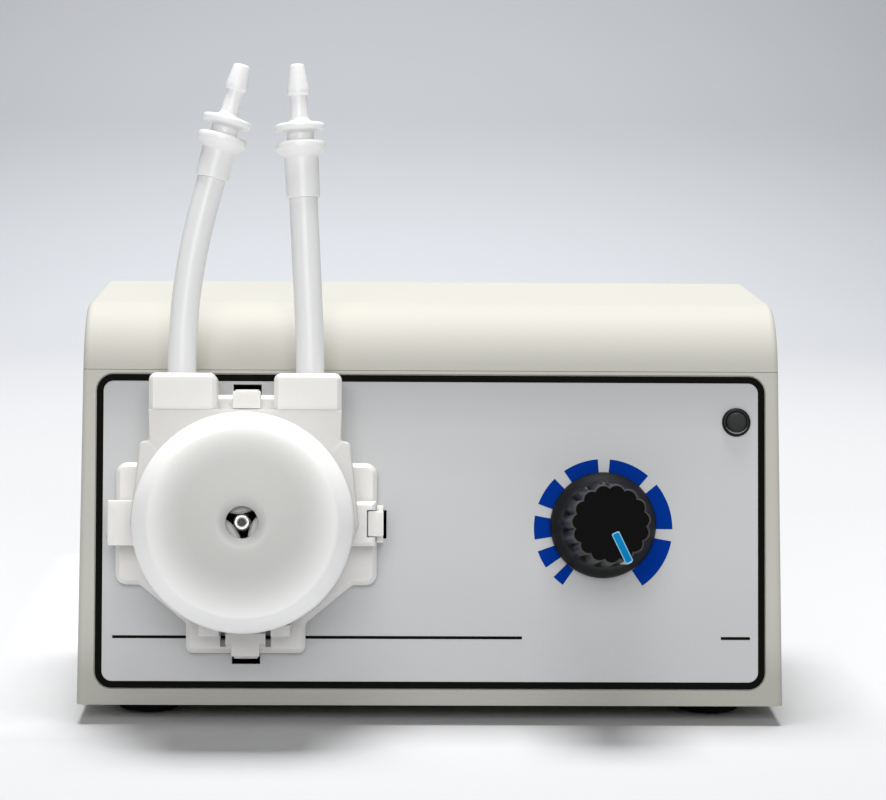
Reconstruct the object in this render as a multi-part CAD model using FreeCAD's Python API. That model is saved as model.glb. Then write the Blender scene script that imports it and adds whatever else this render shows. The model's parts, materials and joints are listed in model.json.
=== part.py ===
import FreeCAD, Part
import math
import os

# Peristaltic dosing pump, in millimetres.
# Row frame: X to the right, Y to the back, Z up, origin at the middle of the
# four feet on the surface that the pump stands on.
# Panel frame: X to the right, Y up along the leaning front panel, Z out of it,
# origin at the middle of the panel's bottom edge, Z = 0 on the label's face.
# Head frame: as the panel frame, with its origin on the pump head's axis.

Vec = FreeCAD.Vector
X_AXIS = Vec(1, 0, 0)
Y_AXIS = Vec(0, 1, 0)
Z_AXIS = Vec(0, 0, 1)
ORIGIN = Vec(0, 0, 0)

# Case
CASE_WIDTH = 100.0
CASE_DEPTH = 58.0
CASE_HEIGHT = 55.6
CASE_WALL = 2.0
CASE_SIDE_DRAFT = 0.67
CASE_REAR_DRAFT = 1.0
CASE_EDGE_RADIUS = 0.9
PANEL_LEAN = 9.25
LID_FRONT_RADIUS = 10.0
LID_REAR_RADIUS = 2.6
SEAM_UP_PANEL = 47.4
SEAM_GAP = 0.15
LIP_HEIGHT = 2.0
LIP_WALL = 0.9
LIP_CLEARANCE = 0.1
LIP_ROOT = 1.5

# Feet
FOOT_HEIGHT = 2.8
FOOT_RADIUS = 5.0
FOOT_SOLE_RADIUS = 2.8
FOOT_RIM = 0.6
FOOT_ROUND = 0.25
FOOT_SIDE_INSET = 9.6
FOOT_INSET = 11.3

# Case screws
POST_RADIUS = 2.6
POST_SIDE_INSET = 7.0
POST_FRONT_Y = -6.0
POST_REAR_INSET = 7.2
POST_REAR_RIGHT = 22.0
POST_MOTOR_GAP = 1.0
BOSS_RADIUS = 3.4
BOSS_HEIGHT = 4.6
SCREW_RADIUS = 1.25
SCREW_LENGTH = 14.0
SCREW_HEAD_RADIUS = 2.4
SCREW_HEAD_HEIGHT = 1.6
SCREW_SINK = 1.8
SCREW_CLEARANCE = 0.35
SCREW_SOCKET = 2.0
THREAD_BITE = 0.05

# Front label
LABEL_SIDE_GAP = 2.55
LABEL_LOW = 2.4
LABEL_TOP_GAP = 0.6
LABEL_CORNER = 2.4
LABEL_THICKNESS = 0.3
LABEL_CLEARANCE = 0.15
LABEL_HOLE_MARGIN = 0.15

# Pump head place and the panel slots that hold it
HEAD_SIDE_INSET = 23.9
HEAD_UP = 25.6
SLOT_WIDTH = 4.0
SLOT_INNER = 17.0
SLOT_OUTER = 19.8
MOTOR_HOLE_CLEARANCE = 0.25

# Mounting plate
PLATE_THICKNESS = 2.4
PLATE_REACH = 18.4
PLATE_REACH_UP = 18.2
PLATE_ARM = 8.6
PLATE_ARM_UP = 8.4
PLATE_WEB_X = 15.0
PLATE_WEB_Y = 14.0
PLATE_CORNER = 1.6
PLATE_CORNER_UP = 1.0
PLATE_EDGE = 0.6
CLIP_WIDTH = 3.3
CLIP_INNER = 17.6
CLIP_OUTER = 19.0
CLIP_BARB = 1.2
CLIP_BARB_HEIGHT = 1.1
CLIP_PANEL_GAP = 0.15
FINGER_WIDTH = 3.9
FINGER_TIP = 18.65
FINGER_START = 15.4
FINGER_ROOT_WIDTH = 5.6
FINGER_ROOT_TIP = 16.9
FINGER_RISE = 1.1
FINGER_UP_START = 16.2
FINGER_UP_RISE = 2.1
FINGER_SLIT = 0.75
FINGER_SLIT_START = 14.2
FINGER_SLIT_END = 16.4
FINGER_POCKET_END = 17.3
FINGER_POCKET_DEPTH = 1.3
TAB_WIDTH = 5.2
TAB_THICKNESS = 0.95
TAB_HEIGHT = 6.0
TAB_CLEARANCE = 0.15
TAB_NOSE_WIDTH = 3.5
TAB_NOSE_REACH = 2.1
TAB_NOSE_HEIGHT = 1.7
TAB_NOSE_CHAMFER = 0.25

# Pump housing
HOUSING_BACK = 0.8
HOUSING_RADIUS = 15.2
HOUSING_TANGENT_Y = 3.0
HOUSING_WAIST_X = 15.9
HOUSING_SHOULDER_X = 14.6
HOUSING_SHOULDER_Y = 11.4
HOUSING_SHOULDER_RADIUS = 0.8
HOUSING_NECK_RADIUS = 0.35
HOUSING_SHAFT_HOLE = 1.4
HOUSING_PAD_INNER = 3.65
HOUSING_PAD_OUTER = 6.35
HOUSING_PAD_REACH = 15.75
HOUSING_PAD_FRONT = 7.5
SOCKET_INNER = 4.0
SOCKET_OUTER = 13.4
SOCKET_TOP = 20.9
SOCKET_FRONT = 10.3
SOCKET_RADIUS = 1.0
SOCKET_EDGE = 0.6
COVER_TOP = 15.7
COVER_PLATE = 1.3
COVER_PARTING = 0.1
CAVITY_TOP = 9.6
LUG_INNER = 14.0
LUG_REACH = 18.2
LUG_WIDTH = 6.2
LUG_BACK = 3.0
LUG_FRONT = 8.6
LUG_EDGE = 0.5
LUG_NOTCH_WIDTH = 3.8
LUG_NOTCH_START = 17.0

# Domed front cover of the head
DRUM_RADIUS = 15.2
DRUM_WALL = 2.2
DRUM_FRONT = 22.0
DRUM_BEVEL_WIDTH = 2.2
DRUM_BEVEL_DEPTH = 2.9
DOME_RADIUS = 70.4
DOME_WALL = 1.15
COVER_HOLE = 2.2
COVER_DISH = 3.3
COVER_DISH_DEPTH = 0.8
DRUM_INNER_BEVEL_WIDTH = 1.6
DRUM_INNER_BEVEL_DEPTH = 2.2
DOME_BANDS = 4

# Tube and connectors
TUBE_RADIUS = 2.0
TUBE_BORE = 1.0
TUBE_HEIGHT = 7.2
TUBE_SQUEEZED = 1.8
TUBE_SQUEEZED_WIDTH = 5.9
TUBE_SLIT = 0.3
TUBE_SLIT_WIDTH = 3.5
TUBE_FLAT_END = 2.0
TUBE_ROUND_START = 9.0
TUBE_CLEARANCE = 0.05
LEFT_TAIL_START = 22.0
LEFT_TAIL_BEND = 22.0
LEFT_TAIL_SIDE_LEAN = 14.6
LEFT_TAIL_BACK_LEAN = 0.0
LEFT_TAIL_END = 4.68
RIGHT_TAIL_START = 21.2
RIGHT_TAIL_BEND = 8.0
RIGHT_TAIL_SIDE_LEAN = -3.0
RIGHT_TAIL_BACK_LEAN = 0.0
RIGHT_TAIL_END = 16.45
CONNECTOR_INSERT = 3.8
INLET_SLEEVE = 4.16
OUTLET_SLEEVE = 5.8
CONNECTOR_SLEEVE_RADIUS = 2.42
CONNECTOR_FLANGE = 3.5
CONNECTOR_FLANGE_TAPER = 1.1
CONNECTOR_FLANGE_RIM = 1.1
CONNECTOR_WAIST = 1.88
CONNECTOR_WAIST_LENGTH = 1.2
CONNECTOR_TOP_FLANGE = 1.6
CONNECTOR_NECK = 1.2
CONNECTOR_NECK_LENGTH = 3.8
CONNECTOR_BARB = 1.55
CONNECTOR_BARB_LAND = 0.7
INLET_BARB_TAPER = 2.94
INLET_TIP = 1.15
OUTLET_BARB_TAPER = 3.6
OUTLET_TIP = 0.98
CONNECTOR_BORE = 0.7

# Rollers and their carrier
SHAFT_RADIUS = 1.15
ROLLER_RADIUS = 3.95
ROLLER_SHAFT_GAP = 0.05
ROLLER_TUBE_GAP = 0.05
ROLLER_PIN_RADIUS = 0.8
ROLLER_PIN_CLEARANCE = 0.05
ROLLER_END_CLEARANCE = 0.1
ROLLER_CHAMFER = 0.3
ROLLER_ANGLES = (97.0, 217.0, 337.0)
CARRIER_RADIUS = 8.7
CARRIER_PLATE = 0.75
CARRIER_HOLE = 2.8
CARRIER_CLEARANCE = 0.1
CARRIER_FRONT = 20.1
SHAFT_TIP = 20.9
SHAFT_CHAMFER = 0.2
SHAFT_RECESS_RADIUS = 0.7
SHAFT_RECESS_DEPTH = 0.6

# Motor
MOTOR_RADIUS = 13.85
MOTOR_LENGTH = 38.0
MOTOR_WALL = 1.2
MOTOR_BOSS_RADIUS = 5.0
MOTOR_BOSS_HEIGHT = 1.9
MOTOR_BOSS_CLEARANCE = 0.15
MOTOR_CAP_THICKNESS = 2.6
MOTOR_CAP_SPIGOT = 2.0
MOTOR_CAP_BOSS = 4.6
MOTOR_CAP_BOSS_HEIGHT = 1.6
BUSH_RADIUS = 3.0
BUSH_LENGTH = 3.6
BUSH_CLEARANCE = 0.02
MAGNET_INNER = 10.0
MAGNET_START = 6.0
MAGNET_CAP_GAP = 3.0
MAGNET_ARC = 140.0
ARMATURE_RADIUS = 9.5
ARMATURE_INSET = 3.0
ARMATURE_HUB = 3.2
ARMATURE_POLES = 5
ARMATURE_STEM = 2.0
ARMATURE_SHOE = 1.4
ARMATURE_SHOE_ARC = 58.0
WINDING_FOOT = 3.5
WINDING_FOOT_HALF = 2.2
WINDING_HALF = 4.2
WINDING_OVERHANG = 1.4
COMMUTATOR_RADIUS = 3.0
COMMUTATOR_LENGTH = 4.4
COMMUTATOR_GAP = 0.4
TERMINAL_X = 8.0
TERMINAL_WIDTH = 2.4
TERMINAL_THICKNESS = 0.5
TERMINAL_LENGTH = 5.0
TERMINAL_ROOT = 1.6
MOTOR_SCREW_X = 8.0
MOTOR_SCREW_RADIUS = 1.25
MOTOR_SCREW_HEAD = 2.3
MOTOR_SCREW_SINK = 1.2
MOTOR_SCREW_TIP = -2.2
MOTOR_SCREW_MARGIN = 0.1

# Speed knob and its potentiometer
KNOB_SIDE_INSET = 25.65
KNOB_UP = 25.6
KNOB_FOOT = 0.9
KNOB_SKIRT_RADIUS = 7.5
KNOB_SKIRT_RIM = 1.9
KNOB_SKIRT_ROUND = 0.45
KNOB_SKIRT_TOP = 5.4
KNOB_WAIST_HEIGHT = 4.0
KNOB_WAIST_RADIUS = 6.3
KNOB_TOP = 17.0
KNOB_GRIP_FOOT = 5.95
KNOB_GRIP_TOP = 5.3
KNOB_LOBES = 15
KNOB_LOBE_DEPTH = 0.42
KNOB_LOBE_SIDES = 6
KNOB_TOP_CHAMFER = 0.5
KNOB_NUT_HOLLOW_RADIUS = 6.3
KNOB_NUT_HOLLOW_TOP = 2.9
KNOB_HOLLOW_RADIUS = 4.5
KNOB_HOLLOW_TOP = 4.2
KNOB_ANGLE = -64.0
POINTER_WIDTH = 1.15
POINTER_START = 1.3
POINTER_END = 5.7
POINTER_DEPTH = 0.9
POINTER_PROUD = 0.15
POINTER_SIDE = 3.0
POT_RADIUS = 8.2
POT_DEPTH = 8.0
POT_BUSH_RADIUS = 3.5
POT_BUSH_TOP = 3.9
POT_SHAFT_RADIUS = 2.95
POT_SHAFT_CLEARANCE = 0.05
POT_SHAFT_START = 6.0
POT_SHAFT_TOP = 14.0
POT_HOLE_CLEARANCE = 0.15
POT_NUT_ACROSS = 10.0
POT_NUT_THICKNESS = 2.0
POT_WASHER_RADIUS = 5.6
POT_WASHER_THICKNESS = 0.5
POT_LUG_WIDTH = 1.4
POT_LUG_PITCH = 5.0
POT_LUG_LENGTH = 5.5
POT_LUG_DEPTH = 5.0

# Power light
LIGHT_SIDE_INSET = 6.6
LIGHT_BELOW_SEAM = 7.1
LIGHT_RADIUS = 2.0
LIGHT_LENS_RADIUS = 1.46
LIGHT_PROUD = 0.55
LIGHT_DEPTH = 5.5
LIGHT_LENS_DEPTH = 5.0
LIGHT_LENS_PROUD = 0.9
LIGHT_LENS_CURVE = 0.6
LIGHT_COLLAR_RADIUS = 2.9
LIGHT_COLLAR = 0.9
LIGHT_HOLE_CLEARANCE = 0.05
LIGHT_RIM = 0.25

# Control board
BOARD_LEFT_OF_KNOB = 19.35
BOARD_WIDTH = 30.0
BOARD_DEPTH = 26.0
BOARD_REAR_GAP = 13.0
BOARD_THICKNESS = 1.6
BOARD_STANDOFF = 4.0
BOARD_STANDOFF_RADIUS = 2.5
BOARD_HOLE_INSET = 3.0
BOARD_SCREW_RADIUS = 1.0
BOARD_SCREW_HEAD = 1.9
BOARD_SCREW_HEAD_HEIGHT = 1.2
BOARD_SCREW_LENGTH = 5.0
BOARD_SCREW_SOCKET = 1.3
BOARD_CORNER = 1.0
CAPACITOR_IN = 23.0
CAPACITOR_UP = 8.0
CAPACITOR_RADIUS = 4.0
CAPACITOR_HEIGHT = 9.0
TRANSISTOR_IN = 12.5
TRANSISTOR_UP = 1.5
TRANSISTOR_WIDTH = 10.0
TRANSISTOR_THICKNESS = 4.4
TRANSISTOR_HEIGHT = 9.0
TRANSISTOR_TAB_HEIGHT = 15.0
TRANSISTOR_TAB = 1.3
TRANSISTOR_LEG = 3.0
TRANSISTOR_LEG_WIDTH = 0.7
TRANSISTOR_LEG_PITCH = 2.54
TRANSISTOR_HOLE = 1.8
BLOCK_PITCH = 5.0
BLOCK_DEPTH = 7.0
BLOCK_HEIGHT = 8.0
BLOCK_SCREW_RADIUS = 1.6
BLOCK_SCREW_SINK = 2.0
BLOCK_EDGE_GAP = 0.3
POWER_BLOCK_IN = 13.0
MOTOR_BLOCK_UP = 6.5
CHIP_IN = 9.0
CHIP_UP = 9.5
CHIP_WIDTH = 8.0
CHIP_DEPTH = 5.0
CHIP_HEIGHT = 1.7

# Power socket
JACK_X = 10.0
JACK_UP = 19.0
JACK_FLANGE_RADIUS = 6.6
JACK_FLANGE = 1.8
JACK_CHAMFER = 0.4
JACK_THREAD_RADIUS = 5.4
JACK_THREAD_LENGTH = 7.0
JACK_BODY_RADIUS = 4.4
JACK_BODY_LENGTH = 8.5
JACK_BORE_RADIUS = 2.95
JACK_BORE_DEPTH = 9.5
JACK_PIN_RADIUS = 1.02
JACK_PIN_RECESS = 0.6
JACK_NUT_ACROSS = 14.0
JACK_NUT_THICKNESS = 2.2
JACK_HOLE_CLEARANCE = 0.1

# Places worked out from the sizes above
LEAN = math.radians(PANEL_LEAN)
FRONT_Y = -CASE_DEPTH / 2
SIDE_X = CASE_WIDTH / 2
FLOOR_Z = FOOT_HEIGHT
FLOOR_TOP = FLOOR_Z + CASE_WALL
TOP_Z = FLOOR_Z + CASE_HEIGHT
SEAM_Z = FLOOR_Z + SEAM_UP_PANEL * math.cos(LEAN)
FAR = 200.0
PANEL_BACK = -CASE_WALL
LABEL_WIDTH = CASE_WIDTH - 2 * LABEL_SIDE_GAP
LABEL_HEIGHT = SEAM_UP_PANEL - LABEL_TOP_GAP - LABEL_LOW
LABEL_UP = LABEL_LOW + LABEL_HEIGHT / 2
HEAD_X = HEAD_SIDE_INSET - SIDE_X
KNOB_X = SIDE_X - KNOB_SIDE_INSET
LIGHT_X = SIDE_X - LIGHT_SIDE_INSET
LIGHT_UP = SEAM_UP_PANEL - LIGHT_BELOW_SEAM
FOOT_X = SIDE_X - FOOT_SIDE_INSET
POST_REAR_Y = CASE_DEPTH / 2 - POST_REAR_INSET
POST_REAR_LEFT_X = HEAD_X + MOTOR_RADIUS + POST_MOTOR_GAP + POST_RADIUS
POST_PLACES = ((SIDE_X - POST_SIDE_INSET, POST_FRONT_Y), (POST_SIDE_INSET - SIDE_X, POST_FRONT_Y),
               (SIDE_X - POST_REAR_RIGHT, POST_REAR_Y), (POST_REAR_LEFT_X, POST_REAR_Y))
CHAMBER_BACK = PLATE_THICKNESS + HOUSING_BACK
CARRIER_BACK = CHAMBER_BACK + CARRIER_CLEARANCE
ROLLER_START = CARRIER_BACK + CARRIER_PLATE + ROLLER_END_CLEARANCE
ROLLER_END = CARRIER_FRONT - CARRIER_PLATE - ROLLER_END_CLEARANCE
ROLLER_CENTRE = SHAFT_RADIUS + ROLLER_SHAFT_GAP + ROLLER_RADIUS
ROLLER_REACH = ROLLER_CENTRE + ROLLER_RADIUS
SQUEEZE_CENTRE = ROLLER_REACH + ROLLER_TUBE_GAP + TUBE_SQUEEZED / 2
RACEWAY_RADIUS = SQUEEZE_CENTRE + TUBE_SQUEEZED / 2
SOCKET_CENTRE = RACEWAY_RADIUS - TUBE_RADIUS
SPLIT_Z = SOCKET_FRONT - COVER_PLATE
MAGNET_LENGTH = MOTOR_LENGTH - MOTOR_CAP_SPIGOT - MAGNET_CAP_GAP - MAGNET_START
ARMATURE_START = MAGNET_START + ARMATURE_INSET
ARMATURE_LENGTH = MAGNET_LENGTH - 2 * ARMATURE_INSET
BOARD_LEFT = KNOB_X - BOARD_LEFT_OF_KNOB
BOARD_REAR = CASE_DEPTH / 2 - BOARD_REAR_GAP
BOARD_X = (BOARD_LEFT, BOARD_LEFT + BOARD_WIDTH)
BOARD_Y = (BOARD_REAR - BOARD_DEPTH, BOARD_REAR)
BOARD_Z = FLOOR_TOP + BOARD_STANDOFF
BOARD_TOP = BOARD_Z + BOARD_THICKNESS

PANEL = FreeCAD.Placement(Vec(0, FRONT_Y, FLOOR_Z), FreeCAD.Rotation(X_AXIS, 90 - PANEL_LEAN))


def panel_place(across, up, spin=0.0):
    return PANEL.multiply(FreeCAD.Placement(Vec(across, up, 0), FreeCAD.Rotation(Z_AXIS, spin)))


def rear_place(across, up):
    draft = math.radians(CASE_REAR_DRAFT)
    point = Vec(across, -FRONT_Y - up * math.tan(draft), FLOOR_Z + up)
    return FreeCAD.Placement(point, FreeCAD.Rotation(X_AXIS, CASE_REAR_DRAFT - 90))


HEAD = panel_place(HEAD_X, HEAD_UP)
POT = panel_place(KNOB_X, KNOB_UP)
KNOB = panel_place(KNOB_X, KNOB_UP, KNOB_ANGLE)
LIGHT = panel_place(LIGHT_X, LIGHT_UP)
JACK = rear_place(JACK_X, JACK_UP)


# Shape helpers

def box(x_span, y_span, z_span):
    corner = Vec(x_span[0], y_span[0], z_span[0])
    return Part.makeBox(x_span[1] - x_span[0], y_span[1] - y_span[0], z_span[1] - z_span[0], corner)


def rod(radius, z_span, centre=(0.0, 0.0)):
    return Part.makeCylinder(radius, z_span[1] - z_span[0], Vec(centre[0], centre[1], z_span[0]))


def ring(outer, inner, z_span, centre=(0.0, 0.0)):
    return rod(outer, z_span, centre).cut(rod(inner, z_span, centre))


def corner_arc(before, here, after, radius):
    """The two tangent points and the middle point of the arc that rounds a corner."""
    back = (before - here).normalize()
    ahead = (after - here).normalize()
    half = back.getAngle(ahead) / 2
    reach = radius / math.tan(half)
    inward = (back + ahead).normalize()
    centre = here + inward * (radius / math.sin(half))
    return here + back * reach, centre - inward * radius, here + ahead * reach


def outline(corners, radii, place):
    """A closed wire through flat corners, each rounded by its own radius."""
    points = [Vec(a, b, 0) for a, b in corners]
    arcs = []
    for i, here in enumerate(points):
        if radii[i] > 0:
            arcs.append(corner_arc(points[i - 1], here, points[(i + 1) % len(points)], radii[i]))
        else:
            arcs.append((here, None, here))
    edges = []
    for i, (start, middle, end) in enumerate(arcs):
        if middle is not None:
            edges.append(Part.Arc(place(start), place(middle), place(end)).toShape())
        following = arcs[(i + 1) % len(arcs)][0]
        if end.distanceToPoint(following) > 1e-6:
            edges.append(Part.LineSegment(place(end), place(following)).toShape())
    return Part.Wire(edges)


def prism(corners, radii, z_span):
    wire = outline(corners, radii, lambda p: Vec(p.x, p.y, z_span[0]))
    return Part.Face(wire).extrude(Vec(0, 0, z_span[1] - z_span[0]))


def rounded_box(x_span, y_span, z_span, radius):
    corners = [(x_span[0], y_span[0]), (x_span[1], y_span[0]), (x_span[1], y_span[1]), (x_span[0], y_span[1])]
    return prism(corners, [radius] * 4, z_span)


def turned(corners, radii=None):
    """A solid of revolution about Z from a profile of (radius, height) corners."""
    wire = outline(corners, radii or [0.0] * len(corners), lambda p: Vec(p.x, 0, p.y))
    return Part.Face(wire).revolve(ORIGIN, Z_AXIS, 360)


def hexagon(across, z_span):
    reach = across / math.sqrt(3)
    corners = [(reach * math.cos(math.radians(60 * k)), reach * math.sin(math.radians(60 * k))) for k in range(6)]
    return prism(corners, [0.0] * 6, z_span)


def sector(radius, start, sweep, z_span):
    wedge = Part.makeCylinder(radius, z_span[1] - z_span[0], Vec(0, 0, z_span[0]), Z_AXIS, sweep)
    wedge.rotate(ORIGIN, Z_AXIS, start)
    return wedge


def spun(shape, angle):
    copy = shape.copy()
    copy.rotate(ORIGIN, Z_AXIS, angle)
    return copy


def mirrored(shape):
    return shape.mirror(ORIGIN, X_AXIS)


def moved(shape, placement):
    copy = shape.copy()
    copy.Placement = placement.multiply(copy.Placement)
    return copy


def fused(shapes):
    return shapes[0].fuse(shapes[1:]).removeSplitter()


def middle_of(edge):
    return edge.valueAt((edge.FirstParameter + edge.LastParameter) / 2)


def fillet_where(shape, radius, test):
    return shape.makeFillet(radius, [edge for edge in shape.Edges if test(edge)])


def chamfer_where(shape, size, test):
    return shape.makeChamfer(size, [edge for edge in shape.Edges if test(edge)])


def polygon_wire(points):
    return Part.makePolygon(points + points[:1])


def save(name, shape, placement=FreeCAD.Placement()):
    piece = moved(shape, placement)
    piece.exportStep("parts/" + name + ".step")
    box_size = piece.BoundBox
    print(name, len(piece.Solids), piece.isValid(), round(piece.Volume, 1),
          [round(v, 2) for v in (box_size.XLength, box_size.YLength, box_size.ZLength)])


# Case

def inset_polygon(corners, inset):
    """A convex polygon, listed counter-clockwise, with every side moved inwards."""
    lines = []
    for i, here in enumerate(corners):
        after = corners[(i + 1) % len(corners)]
        run = Vec(after[0] - here[0], after[1] - here[1], 0).normalize()
        lines.append((Vec(here[0] - run.y * inset, here[1] + run.x * inset, 0), run))
    points = []
    for i, (base, run) in enumerate(lines):
        before, before_run = lines[i - 1]
        cross = before_run.x * run.y - before_run.y * run.x
        gap = base - before
        along = (gap.x * run.y - gap.y * run.x) / cross
        points.append((before.x + before_run.x * along, before.y + before_run.y * along))
    return points


def case_block(inset):
    """The case's outer form, with every face moved inwards."""
    rear_run = CASE_HEIGHT * math.tan(math.radians(CASE_REAR_DRAFT))
    side = [(FRONT_Y, FLOOR_Z), (-FRONT_Y, FLOOR_Z), (-FRONT_Y - rear_run, TOP_Z),
            (FRONT_Y + CASE_HEIGHT * math.tan(LEAN), TOP_Z)]
    half = CASE_WIDTH / 2
    half_top = half - CASE_HEIGHT * math.tan(math.radians(CASE_SIDE_DRAFT))
    front = [(-half, FLOOR_Z), (half, FLOOR_Z), (half_top, TOP_Z), (-half_top, TOP_Z)]
    side_radii = [0.0, 0.0, max(LID_REAR_RADIUS - inset, 0.3), max(LID_FRONT_RADIUS - inset, 0.3)]
    side_wire = outline(inset_polygon(side, inset), side_radii, lambda p: Vec(-FAR, p.x, p.y))
    front_wire = outline(inset_polygon(front, inset), [0.0] * 4, lambda p: Vec(p.x, FAR, p.y))
    along_x = Part.Face(side_wire).extrude(Vec(2 * FAR, 0, 0))
    along_y = Part.Face(front_wire).extrude(Vec(0, -2 * FAR, 0))
    return along_x.common(along_y)


def on_case_side(edge):
    for point in (edge.Vertexes[0].Point, middle_of(edge), edge.Vertexes[-1].Point):
        half = CASE_WIDTH / 2 - (point.z - FLOOR_Z) * math.tan(math.radians(CASE_SIDE_DRAFT))
        if abs(abs(point.x) - half) > 1e-4:
            return False
    return middle_of(edge).z > FLOOR_Z + 0.01


def case_outer():
    return fillet_where(case_block(0.0), CASE_EDGE_RADIUS, on_case_side)


def slab(low, high):
    return box((-FAR, FAR), (-FAR, FAR), (low, high))


def panel_slots(z_span):
    slot = box((-SLOT_WIDTH / 2, SLOT_WIDTH / 2), (SLOT_INNER, SLOT_OUTER), z_span)
    return [spun(slot, angle) for angle in (0, 90, 180, 270)]


def label_plate(margin, z_span):
    half_x = LABEL_WIDTH / 2 + margin
    low = LABEL_UP - LABEL_HEIGHT / 2 - margin
    high = LABEL_UP + LABEL_HEIGHT / 2 + margin
    return rounded_box((-half_x, half_x), (low, high), z_span, LABEL_CORNER + margin)


def panel_cuts():
    """Everything that is cut through the front panel."""
    through = (PANEL_BACK - 1.0, 1.0)
    cuts = [moved(rod(MOTOR_RADIUS + MOTOR_HOLE_CLEARANCE, through), HEAD)]
    cuts += [moved(slot, HEAD) for slot in panel_slots(through)]
    cuts.append(moved(rod(POT_BUSH_RADIUS + POT_HOLE_CLEARANCE, through), POT))
    cuts.append(moved(rod(LIGHT_RADIUS + LIGHT_HOLE_CLEARANCE, through), LIGHT))
    cuts.append(moved(label_plate(LABEL_CLEARANCE, (-LABEL_THICKNESS, 1.0)), PANEL))
    return cuts


def board_holes():
    return [(x, y) for x in (BOARD_X[0] + BOARD_HOLE_INSET, BOARD_X[1] - BOARD_HOLE_INSET)
            for y in (BOARD_Y[0] + BOARD_HOLE_INSET, BOARD_Y[1] - BOARD_HOLE_INSET)]


def base_shell():
    shell = case_outer().common(slab(-FAR, SEAM_Z - SEAM_GAP / 2)).cut(case_block(CASE_WALL))
    boss_top = FLOOR_TOP + BOSS_HEIGHT
    bosses = [rod(BOSS_RADIUS, (FLOOR_TOP - 1.0, boss_top), place) for place in POST_PLACES]
    standoffs = [rod(BOARD_STANDOFF_RADIUS, (FLOOR_TOP - 1.0, BOARD_Z), place) for place in board_holes()]
    cuts = panel_cuts()
    for place in POST_PLACES:
        cuts.append(rod(SCREW_RADIUS + SCREW_CLEARANCE, (FLOOR_Z - 1.0, boss_top + 1.0), place))
        cuts.append(rod(SCREW_HEAD_RADIUS + SCREW_CLEARANCE, (FLOOR_Z - 1.0, FLOOR_Z + SCREW_SINK), place))
    pilot = BOARD_SCREW_RADIUS - THREAD_BITE
    cuts += [rod(pilot, (FLOOR_TOP, BOARD_Z + 1.0), place) for place in board_holes()]
    jack_hole = rod(JACK_THREAD_RADIUS + JACK_HOLE_CLEARANCE, (-CASE_WALL - 1.0, 1.0))
    cuts.append(moved(jack_hole, JACK))
    return fused([shell] + bosses + standoffs).cut(cuts)


def top_cover():
    lip_top = SEAM_Z + LIP_ROOT
    edge = SEAM_Z + SEAM_GAP / 2
    shell = case_outer().common(slab(edge, FAR))
    lip = case_block(CASE_WALL + LIP_CLEARANCE).common(slab(SEAM_Z - LIP_HEIGHT, lip_top))
    low_hollow = case_block(CASE_WALL + LIP_CLEARANCE + LIP_WALL).common(slab(-FAR, lip_top))
    high_hollow = case_block(CASE_WALL).common(slab(lip_top, FAR))
    cover = fused([shell, lip]).cut([low_hollow, high_hollow])
    post_start = FLOOR_TOP + BOSS_HEIGHT
    posts = [rod(POST_RADIUS, (post_start, TOP_Z - 1.0), place) for place in POST_PLACES]
    pilot_top = FLOOR_Z + SCREW_SINK + SCREW_LENGTH + 1.0
    pilots = [rod(SCREW_RADIUS - THREAD_BITE, (post_start - 1.0, pilot_top), place) for place in POST_PLACES]
    return fused([cover] + posts).cut(pilots)


def cap_screw(radius, length, head_radius, head_height, socket):
    """A screw with its head above Z = 0 and its shank below."""
    body = fused([rod(radius, (-length, 0)), rod(head_radius, (0, head_height))])
    return body.cut(hexagon(socket, (head_height * 0.4, head_height + 1.0)))


def cover_screws():
    screw = cap_screw(SCREW_RADIUS, SCREW_LENGTH, SCREW_HEAD_RADIUS, SCREW_HEAD_HEIGHT, SCREW_SOCKET)
    up = FreeCAD.Rotation(X_AXIS, 180)
    height = FLOOR_Z + SCREW_SINK
    return Part.makeCompound([moved(screw, FreeCAD.Placement(Vec(x, y, height), up)) for x, y in POST_PLACES])


def rubber_foot():
    corners = [(0, 0), (FOOT_SOLE_RADIUS, 0), (FOOT_RADIUS - 4 * FOOT_ROUND, FOOT_ROUND),
               (FOOT_RADIUS - FOOT_ROUND, 4 * FOOT_ROUND), (FOOT_RADIUS, FOOT_HEIGHT - FOOT_RIM),
               (FOOT_RADIUS, FOOT_HEIGHT), (0, FOOT_HEIGHT)]
    return turned(corners)


def front_label():
    label = label_plate(0.0, (-LABEL_THICKNESS, 0.0))
    through = (-LABEL_THICKNESS - 1.0, 1.0)
    motor_hole = MOTOR_RADIUS + MOTOR_HOLE_CLEARANCE + LABEL_HOLE_MARGIN
    pot_hole = POT_BUSH_RADIUS + POT_HOLE_CLEARANCE + LABEL_HOLE_MARGIN
    cuts = [rod(motor_hole, through, (HEAD_X, HEAD_UP)), rod(pot_hole, through, (KNOB_X, KNOB_UP)),
            rod(LIGHT_RADIUS + LIGHT_HOLE_CLEARANCE, through, (LIGHT_X, LIGHT_UP))]
    place = FreeCAD.Placement(Vec(HEAD_X, HEAD_UP, 0), FreeCAD.Rotation())
    cuts += [moved(slot, place) for slot in panel_slots(through)]
    return label.cut(cuts)


# Pump head

def plate_blank():
    corner = (PLATE_REACH, PLATE_ARM)
    quarter = [corner, (PLATE_WEB_X, PLATE_ARM), (PLATE_ARM_UP, PLATE_WEB_Y), (PLATE_ARM_UP, PLATE_REACH_UP)]
    radii = [PLATE_CORNER, 1.0, 1.0, PLATE_CORNER_UP]
    left = [(-x, y) for x, y in reversed(quarter)]
    upper = quarter + left
    lower = [(-x, -y) for x, y in upper]
    all_radii = radii + radii[::-1] + radii + radii[::-1]
    blank = prism(upper + lower, all_radii, (0.0, PLATE_THICKNESS))
    return chamfer_where(blank, PLATE_EDGE, lambda e: abs(middle_of(e).z - PLATE_THICKNESS) < 1e-6)


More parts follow.
